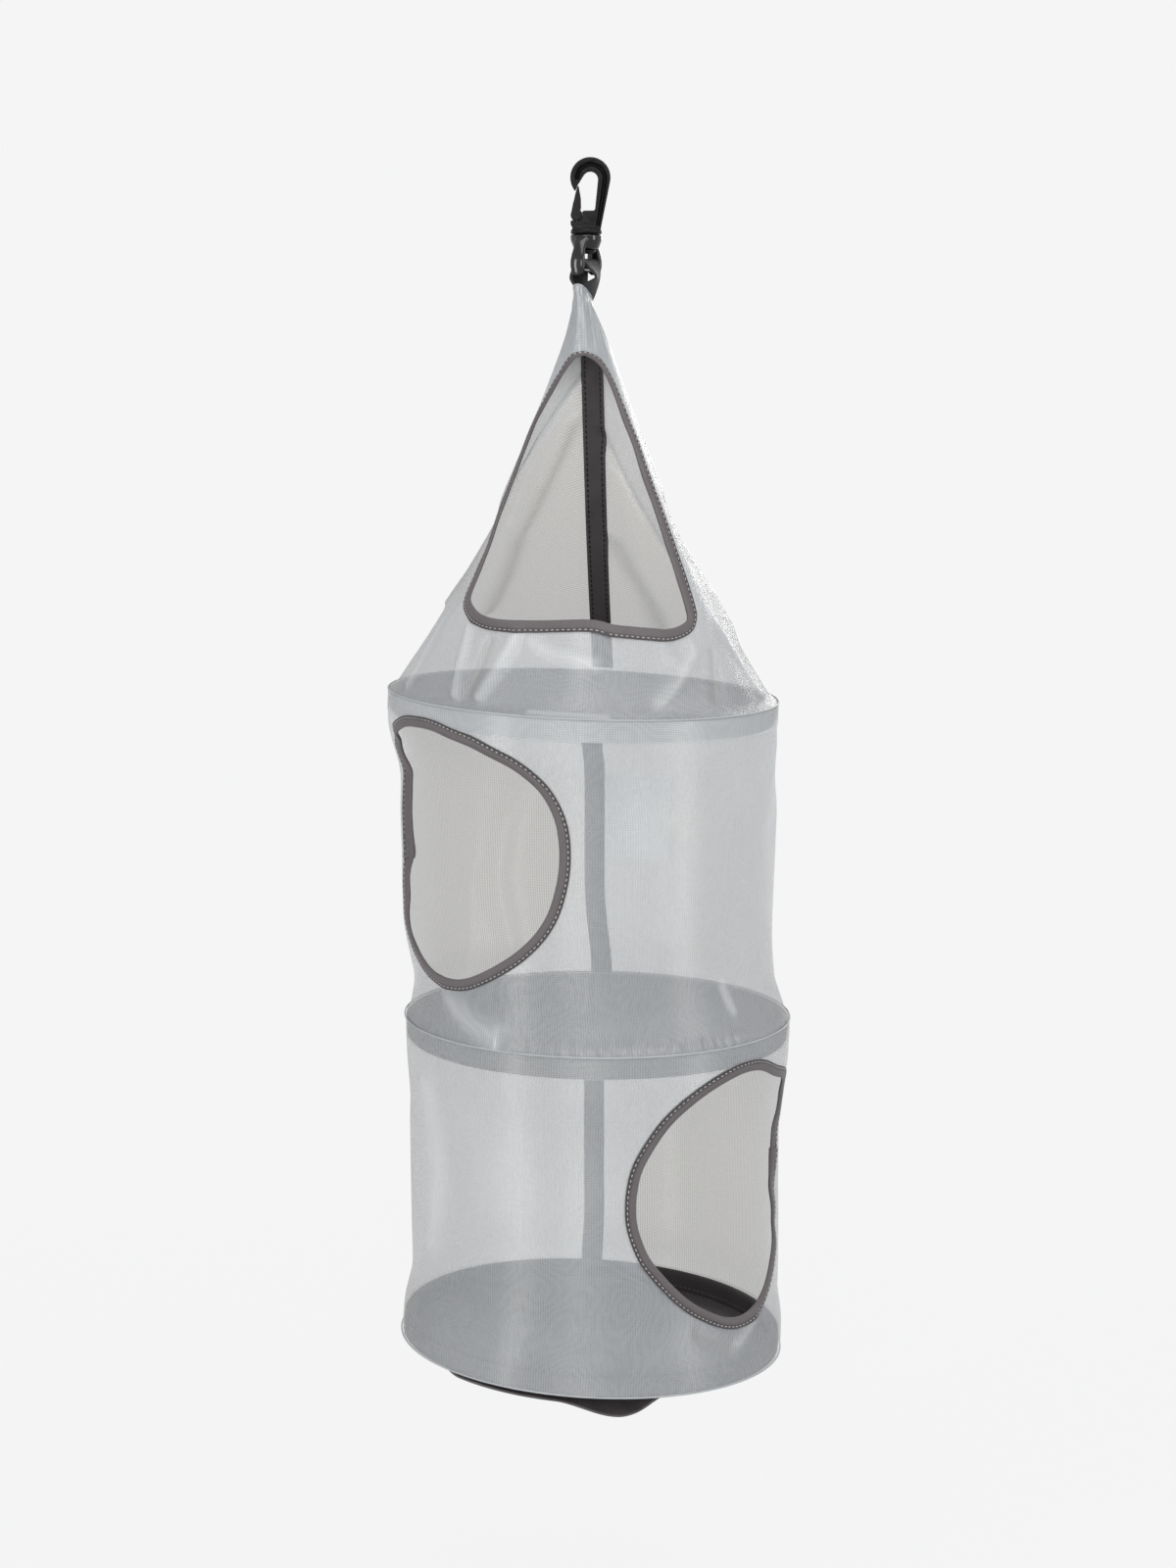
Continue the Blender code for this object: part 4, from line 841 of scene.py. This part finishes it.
HEM_ROWS = (1.6 * MM, 2.6 * MM)  # from the hem's inner and outer edge to its stitches
CHANNEL_ROW = 2.4 * MM
RING_COLUMNS = 240
HEM_STITCH = (3.2, 2.2, 0.5)
CHANNEL_STITCH = (3, 2, 0.5)

channel_cloth = woven(
    "channel tape", (0.031, 0.028, 0.030), (0.056, 0.051, 0.054), (0.9, 0.7), 0.75, 0.06,
)
floor_cloth = woven(
    "floor cloth", (0.058, 0.0525, 0.0555), (0.105, 0.0955, 0.101), (0.8, 0.8), 0.8, 0.08,
)
dim_thread = new_finish("dim thread", (0.11, 0.098, 0.102), 0.6)[0]
steel, tree, shader = new_finish("spring steel", (0.56, 0.56, 0.58), 0.3, 1.0)
tint(tree, shader, blotches(tree, 0.8 * MM, 3), (0.45, 0.45, 0.47), (0.62, 0.62, 0.64))

round_it = tau * np.arange(RING_COLUMNS) / RING_COLUMNS
rings = {
    "top": Ring("top_shelf", SHELF_FACE),
    "middle": Ring("middle_shelf", SHELF_FACE),
    "bottom": Ring("bottom_shelf", BOTTOM_SHELF_FACE),
}
hem_edge = FLOOR_RADIUS - FLOOR_HEM
floor_steps = [reach * MM for reach in (0.5, 15, 30, 45, 60, 72, 82, 88)]
floor_steps += [hem_edge - 0.4 * MM, hem_edge, 93 * MM, 96 * MM, 98 * MM, FLOOR_RADIUS]
ridges = {}
for name, ring in rings.items():
    body = f"{name}_tier"
    side = 1 if name == "bottom" else -1
    for node in (f"{name}_hoop", f"{name}_hoop_ferrule"):
        metal = frame["nodes"][node]
        metal.data.materials.clear()
        metal.data.materials.append(steel)

    section = [(CHANNEL_HALF, 0.3 * MM), (CHANNEL_HALF, 3 * MM)]
    for a in np.radians(np.arange(0, 181, 20)):
        section.append((CHANNEL_HALF * cos(a), CHANNEL_HEIGHT - CHANNEL_HALF * (1 - sin(a))))
    section += [(-CHANNEL_HALF, 3 * MM), (-CHANNEL_HALF, 0.3 * MM)]
    tracks = [ring.at(round_it, HOOP_RADIUS + reach, side * height) for reach, height in section]
    channel = cloth(f"{name}_channel", np.stack(tracks), [channel_cloth], wrap=True)
    fit(thicken(channel, TAPE_THICKNESS), body, "dark_tape", f"{name}_hoop_tape")

    level = FLOOR_RISE if side < 0 else BOTTOM_FLOOR_RISE
    tracks = []
    for reach in floor_steps:
        slack = FLOOR_SLACK * sin(reach / FLOOR_RADIUS * pi) * np.sin(3 * round_it + reach * 40)
        hem = FLOOR_HEM_RISE if reach >= hem_edge else 0
        tracks.append(ring.at(round_it, reach, level + hem + slack))
    tracks = np.stack(tracks)
    plan = np.concatenate([tracks, tracks[:, :1]], 1)[..., :2]
    floor = cloth(f"{name}_floor_cloth", tracks, [floor_cloth], wrap=True, pole=True, uv=plan)
    fit(thicken(floor, FLOOR_THICKNESS), body, "floor_fabric", f"{name}_floor")

    rows = []
    for reach in (hem_edge + HEM_ROWS[0], FLOOR_RADIUS - HEM_ROWS[1]):
        for face in (1, -1):
            height = level + FLOOR_HEM_RISE + face * (FLOOR_THICKNESS / 2 + 0.05 * MM)
            line = ring.at(round_it, reach, height)
            rows.append((line, np.broadcast_to([0, 0, face], line.shape)))
    sewn = stitches(f"{name}_hem_stitches", rows, HEM_STITCH, dim_thread)
    fit(sewn, body, "window_tape")
    rows = []
    for face in (1, -1):
        line = ring.at(round_it, HOOP_RADIUS + face * (CHANNEL_HALF + 0.3 * MM), side * CHANNEL_ROW)
        rows.append((line, face * outward(round_it)))
    tacked = stitches(f"{name}_channel_stitches", rows, CHANNEL_STITCH, dim_thread)
    fit(tacked, body, "window_tape")

    rise = RIDGE_RISE if side < 0 else BOTTOM_FLOOR_RISE
    ridge_line = ring.at(round_it, RIDGE_RADIUS, rise)
    ridges[name] = roll(f"{name}_ridge", ridge_line, outward(round_it), solid_mesh)
    fit(ridges[name], body, "mesh_cloth")


# Middle tier: a tube of the same mesh between the top and the middle ring, drawn in a little at its
# waist, with a D-shaped window on the left. A blank satin care label is caught in its back seam.
RING_RADIUS = 100.6 * MM
TIER_TOP_RISE = 1.1 * MM
DRAWN_FOOT_RISE = -0.8 * MM  # of a foot that is drawn over its channel
TIER_WAVES = 0.9 * MM
FOOT_PUCKER = 0.6 * MM


class Tube:
    """A tier's wall as places at (angle, drop from its top edge, distance out).

    It stands on the floor of the ring below, or else is drawn over that ring's channel.
    """

    def __init__(self, upper, lower, height, travel, middle_x, waist, seam, folds, dents, stands):
        self.body, self.joint = f"{upper}_tier", f"{lower}_collapse"
        self.upper, self.lower = rings[upper], rings[lower]
        self.top_z = self.upper.centre[2]
        self.height, self.travel, self.middle_x, self.waist = height, travel, middle_x, waist
        self.seam, self.folds, self.dents, self.stands = seam, folds, dents, stands

    def radius(self, drop):
        return RING_RADIUS - self.waist + 0 * drop

    def flat(self, angle, drop):
        return np.stack([angle * self.radius(drop), drop], -1)

    def place(self, angle, drop, out=0.0):
        angle, drop = np.broadcast_arrays(angle, drop)
        share = drop / self.height
        by_channel = 1.3 * CHANNEL_HEIGHT / self.height
        last = 1 - by_channel / 8 if self.stands else 1 - by_channel
        end = 1 if self.stands else 1 - by_channel
        lower_radius = SEWN_RADIUS if self.stands else RING_RADIUS
        lower_rise = SPIRE_FOOT_RISE if self.stands else DRAWN_FOOT_RISE
        above = self.upper.at(angle, RING_RADIUS, TIER_TOP_RISE - drop)
        below = self.lower.at(angle, lower_radius, lower_rise + self.height - drop)
        lean = ease(by_channel, last, share)[..., None]
        place = above * (1 - lean) + below * lean
        upper_x = self.upper.centre[0] + (TIER_TOP_RISE - drop) * sin(self.upper.tilt)
        lower_x = self.lower.centre[0] + (lower_rise + self.height - drop) * sin(self.lower.tilt)
        centre_x = mix(upper_x, lower_x, lean[..., 0])
        free = ease(by_channel, 0.35, share) * ease(last, 0.65, share)
        place[..., 0] += (self.middle_x - centre_x) * free
        drawn = self.waist * ease(by_channel, by_channel + 0.2, share)
        drawn = drawn * ease(end, end - 0.14, share) * mix(0.7, 1.0, share)
        swell = ease(0.08, 0.35, share) * ease(0.93, 0.65, share)
        waves = 0.6 * np.sin(5 * angle + 0.8) + 0.4 * np.sin(9 * angle + 2.1 + 1.5 * share)
        turned = from_front(angle)
        creases = folded(turned * self.radius(drop), drop, self.folds + self.dents, self.radius)
        if self.stands:
            place += outward(angle) * (SEAM_FLARE * ease(0.975, 1, share))[..., None]
            near_front = ease(0.9, 0.2, np.abs(turned - 0.35))
            pucker = np.sin(turned * 95) + 0.6 * np.sin(turned * 61 + 1)
            pucker = pucker * near_front * ease(0.945, 0.985, share) * ease(1, 0.995, share)
            creases = creases + FOOT_PUCKER * pucker
        return place + outward(angle) * (out + TIER_WAVES * swell * waves + creases - drawn)[..., None]


def tube_rows(height):
    """Drops for a tube's rows, which lie closer at its ends."""
    fine = 14 * MM
    ends = np.linspace(0, fine, 11)
    middle = np.linspace(fine, height - fine, 62)[1:-1]
    return np.concatenate([ends, middle, height - ends[::-1]])


MIDDLE_HEIGHT = 168.9 * MM
MIDDLE_TRAVEL = 148.2 * MM
MIDDLE_FOLDS = (
    ([(-52, 148), (-42, 158), (-32, 164)], 6.0, 2.0),
    ([(44, 138), (47, 152)], 2.6, 1.1),
    ([(-166, 36), (-150, 84), (-147, 110), (-150, 150)], 8.0, -2.4),
    ([(-138, 112), (-132, 160)], 7.0, 1.6),
    ([(80, 20), (70, 60), (74, 110)], 7.0, 0.9),
    ([(120, 30), (128, 120)], 8.0, -1.0),
)
MIDDLE_DENTS = (
    ([(-90, 66), (-90, 116)], 24.0, 3.0),
    ([(-78, 26), (-81, 42), (-81, 84), (-78, 102)], 9.0, -3.6),
    ([(-81, 44), (-81, 82)], 9.0, -3.6),
)
LEFT_WINDOW_ANGLE = radians(-46.5)
LEFT_WINDOW = (
    (-41.3, 13.6), (-54, 20.5), (-62.5, 31), (-66.5, 45), (-67.5, 60), (-67, 80), (-65, 97), (-61, 112),
    (-53, 126), (-41.6, 134.4), (-27.5, 140.8), (-13.5, 143.5), (-0.2, 143.4), (11.5, 140.5),
    (25.4, 134.1), (39.2, 125.8), (49.3, 117.4), (56.6, 108.9), (62.5, 98.1), (66.5, 84.4),
    (68.1, 73), (68, 61.7),
    (66.4, 50.6), (63.2, 40.6), (59.1, 33), (52.5, 26.1), (44.4, 20.6), (33.2, 15.8), (23.3, 12.1),
    (10.9, 9.4), (-1.2, 7), (-13.7, 6.8), (-27.5, 8.4),
)
SIDE_TAPE = 5.7 * MM
HEM_HEIGHT = 10.8 * MM
HEM_START = 0.2 * MM
HEM_OFF = 0.35 * MM  # how far a turned edge stands off the wall

middle_tier = Tube(
    "top", "middle", MIDDLE_HEIGHT, MIDDLE_TRAVEL, middle_x=0, waist=4.6 * MM, seam=radians(178.5),
    folds=MIDDLE_FOLDS, dents=MIDDLE_DENTS, stands=True,
)
middle_wall, middle_trim = dress(
    "middle", middle_tier, tube_rows(MIDDLE_HEIGHT), traced(LEFT_WINDOW), LEFT_WINDOW_ANGLE,
    SIDE_TAPE, 0.17, seam=(12 * MM, 0.5 * MM),
)


def channel_hem(name, tier, last, painted_tone, dense, body):
    """The turned edge of a wall over a hoop's channel, which stays with that hoop.

    Its rows end at last; the tone change shifts the wall's painted light there, and the dense change its density.
    """
    rows = np.linspace(max(last - HEM_HEIGHT, HEM_START), last, 8)
    angle, drop = np.meshgrid(tau * np.arange(RING_COLUMNS + 1) / RING_COLUMNS, rows)
    places = tier.place(angle[:, :-1], drop[:, :-1], HEM_OFF)
    marks = wall_marks(tier, angle[:, :-1], drop[:, :-1], places)
    marks = [(mark, values + change) for (mark, values), change in zip(marks, (dense, painted_tone))]
    hem = cloth(name, places, [grey_mesh], wrap=True, uv=tier.flat(angle, drop), marks=marks)
    return fit(hem, body, "mesh_cloth")


# The middle hem is painted lighter.
middle_hem = channel_hem("middle_hem", middle_tier, HEM_HEIGHT, 0.25, 0, "top_tier")

LABEL_WIDTH = 37 * MM
LABEL_HEIGHT = 47 * MM
LABEL_DROP = 55 * MM
LABEL_THICKNESS = 0.3 * MM
LABEL_INSIDE = 1.6 * MM  # from the mesh
LABEL_CURL = 0.5 * MM
white_satin = woven("label satin", (0.9, 0.92, 0.95), (0.97, 0.98, 1.0), (0.5, 4), 0.38, 0.03)
across, down = np.meshgrid(np.linspace(0, 1, 26), np.linspace(0, 1, 20))
label_curl = LABEL_CURL * np.sin(across * 5 + down * 2) * across
label_reach = SEAM_WIDTH / 2 + 0.4 * MM + LABEL_WIDTH * across
label_angle = middle_tier.seam - label_reach / middle_tier.radius(0)
label_grid = middle_tier.place(label_angle, LABEL_DROP + LABEL_HEIGHT * down, -LABEL_INSIDE - label_curl)
label = thicken(cloth("care_label_satin", label_grid, [white_satin]), LABEL_THICKNESS)
hang(label, middle_tier, "label_satin", "care_label")


# Lower tier: the same tube between the middle and the bottom ring, with its window on the right.
# Its foot is drawn over the bottom channel.
LOWER_HEIGHT = 172.9 * MM
LOWER_TRAVEL = 142 * MM
LOWER_FOLDS = (
    ([(58, 142), (48, 152)], 3.0, 1.2),
    ([(33, 143), (44, 154)], 3.0, -1.0),
    ([(-60, 30), (-54, 70), (-58, 110)], 8.0, 1.0),
    ([(-86, 8), (-82, 80), (-86, 165)], 13.0, -0.4),
    ([(-90, 8), (-88, 80), (-90, 165)], 20.0, -0.3),
    ([(-120, 40), (-128, 130)], 8.0, 1.0),
)
LOWER_DENTS = (
    ([(79, 40), (82, 60), (81, 86), (78, 100)], 9.0, -2.4),
    ([(82, 58), (81, 84)], 9.0, -2.4),
)
RIGHT_WINDOW_ANGLE = radians(47.5)
RIGHT_WINDOW = (
    (32.8, 17.1), (14.3, 10), (-2.8, 9), (-20, 13.5), (-34.8, 21.3), (-46.4, 31.1), (-54.9, 42.7),
    (-61.8, 55.4), (-64.9, 68.6), (-65.2, 81.9), (-62.9, 92.3), (-57.5, 104.6), (-48.7, 115.7),
    (-37.3, 127), (-24.6, 135.5), (-7.3, 142.9), (8.8, 144.2), (25.8, 138.7), (38, 127), (49, 108),
    (60, 89.7), (66, 62), (66.5, 45), (60, 30), (48, 22),
)

lower_tier = Tube(
    "middle", "bottom", LOWER_HEIGHT, LOWER_TRAVEL, middle_x=2.2 * MM, waist=3.6 * MM, seam=pi,
    folds=LOWER_FOLDS, dents=LOWER_DENTS, stands=False,
)
lower_wall, lower_trim = dress(
    "lower", lower_tier, tube_rows(LOWER_HEIGHT), traced(RIGHT_WINDOW), RIGHT_WINDOW_ANGLE,
    SIDE_TAPE, 0.81, seam=(12 * MM, 10.5 * MM),
)
# The lower tier's hem and foot are painted darker, as painted shade, and made less dense.
lower_hem = channel_hem("lower_hem", lower_tier, HEM_HEIGHT, -0.15, -0.75, "middle_tier")
lower_foot = channel_hem("lower_foot", lower_tier, LOWER_HEIGHT - HEM_START, -0.25, -1, "bottom_tier")


# Storage band: 18 mm ribbed elastic sewn by its ends under the bottom floor. It hangs slack along
# the rim, and goes round the organizer when that is folded flat.
BAND_WIDTH = 18 * MM
BAND_THICKNESS = 1.2 * MM
BAND_UNDER = -1.1 * MM
BAND_RADIUS = 84 * MM
BAND_SAG = 3.6 * MM  # along its left part, which stays near the floor
BAND_LOOP = 5.2 * MM  # how much lower it hangs at its slackest

ribbed_elastic = woven(
    "ribbed elastic", (0.035, 0.031, 0.033), (0.13, 0.115, 0.122), (1.5, 0.9), 0.7, 0.15,
)
turn = np.radians(np.linspace(-60, 27, 90))
sag = BAND_SAG * ease(-1.05, -0.82, turn) * ease(0.47, 0.25, turn)
sag = sag + BAND_LOOP * ease(-0.2, 0.16, turn) * ease(0.42, 0.16, turn)
tracks = []
for width in np.linspace(-0.5, 0.5, 9):
    height = BAND_UNDER - BAND_THICKNESS / 2 - sag * (1 + 0.5 * width)
    tracks.append(rings["bottom"].at(turn, BAND_RADIUS + BAND_WIDTH * width, height))
band = thicken(cloth("elastic_band", np.stack(tracks, 1), [ribbed_elastic]), BAND_THICKNESS)
fit(band, "bottom_tier", "band_elastic", "storage_band")


# Stage: a pale floor below, and the same pale grey all round. The floor takes the organizer's
# shadow near it and fades into the grey further off.
PALE = 0.912
FLOOR_Z = -0.76


def seen_directly(tree):
    """1 for rays from the camera, off gloss and through clear gaps, and 0 for the rest."""
    path = tree.nodes.new("ShaderNodeLightPath")
    seen = calculate(tree, "MAXIMUM", path.outputs["Is Camera Ray"], path.outputs["Is Glossy Ray"])
    return calculate(tree, "MAXIMUM", seen, path.outputs["Is Transmission Ray"])


def lay_over(tree, share, lit, plain, surface):
    """Shows plain in place of lit by this share."""
    both = tree.nodes.new("ShaderNodeMixShader")
    tree.links.new(share, both.inputs["Fac"])
    tree.links.new(lit.outputs[0], both.inputs[1])
    tree.links.new(plain.outputs[0], both.inputs[2])
    tree.links.new(both.outputs[0], tree.nodes[surface].inputs["Surface"])


bpy.ops.object.select_all(action="DESELECT")
bpy.ops.mesh.primitive_circle_add(vertices=96, radius=14, fill_type="NGON", location=(0, 0, FLOOR_Z))
ground = bpy.context.object
ground.name = "pale_floor"
made, tree, shader = new_finish("pale floor", (0.8, 0.8, 0.8), 0.9, specular=0.1)
glow = tree.nodes.new("ShaderNodeEmission")
glow.inputs["Color"].default_value = (PALE, PALE, PALE * 1.004, 1)
place = tree.nodes.new("ShaderNodeTexCoord")
length = tree.nodes.new("ShaderNodeVectorMath")
length.operation = "LENGTH"
tree.links.new(place.outputs["Object"], length.inputs[0])
fade = tree.nodes.new("ShaderNodeMapRange")
for limit, value in (("From Min", 0.25), ("From Max", 1.1), ("To Min", 0.95)):
    fade.inputs[limit].default_value = value
fade.interpolation_type = "SMOOTHSTEP"
tree.links.new(length.outputs["Value"], fade.inputs["Value"])
faded = scaled(tree, seen_directly(tree), fade.outputs["Result"])
lay_over(tree, faded, shader, glow, "Material Output")
ground.data.materials.append(made)

world = bpy.data.worlds.new("studio")
bpy.context.scene.world = world
world.use_nodes = True
tree = world.node_tree
room = tree.nodes["Background"]
room.inputs["Color"].default_value = (0.94, 1.0, 1.07, 1)
room.inputs["Strength"].default_value = 0.25
backdrop = tree.nodes.new("ShaderNodeBackground")
backdrop.inputs["Color"].default_value = (1, 1, 1.004, 1)
backdrop.inputs["Strength"].default_value = PALE
lay_over(tree, seen_directly(tree), room, backdrop, "World Output")

# Lamps: five soft lamps aimed at the middle of the organizer. The tall narrow one on the left draws
# the bright band down the mesh.
SOFTBOXES = (
    # name, place, size, watts
    ("left_softbox", (-0.98, -0.9, -0.2), (0.14, 1.1), 7.5),
    ("front_softbox", (-0.25, -2.1, 0.15), (0.9, 0.9), 16),
    ("right_softbox", (1.75, -0.95, 0.1), (0.45, 1.8), 19),
    ("top_softbox", (0.2, -0.6, 1.5), (1.4, 1.4), 22),
    ("back_softbox", (0.5, 2.1, 0.5), (1.2, 1.4), 24),
)
LAMP_AIM = (0, 0, -0.33)
LAMP_COLOUR = (1, 0.99, 0.965)
for name, spot, size, watts in SOFTBOXES:
    lamp = bpy.data.lights.new(name, "AREA")
    lamp.shape = "RECTANGLE"
    lamp.size, lamp.size_y = size
    lamp.energy = watts
    lamp.color = LAMP_COLOUR
    light = add(name, lamp)
    light.location = spot
    aim = Vector(LAMP_AIM) - Vector(spot)
    light.rotation_euler = aim.to_track_quat("-Z", "Y").to_euler()

# Camera: at the height of the webbing loop, and turned down a little, which shows the shelves.
CAMERA_PLACE = (-0.0012, -1.6589, -0.0525)
CAMERA_DOWN = radians(8.913)
FOCAL_LENGTH = 74.25
lens = bpy.data.cameras.new("view")
lens.lens = FOCAL_LENGTH
lens.sensor_width = 36
camera = add("view", lens)
camera.location = CAMERA_PLACE
camera.rotation_euler = (radians(90) - CAMERA_DOWN, 0, 0)
bpy.context.scene.camera = camera
bpy.context.scene.view_settings.view_transform = "Standard"
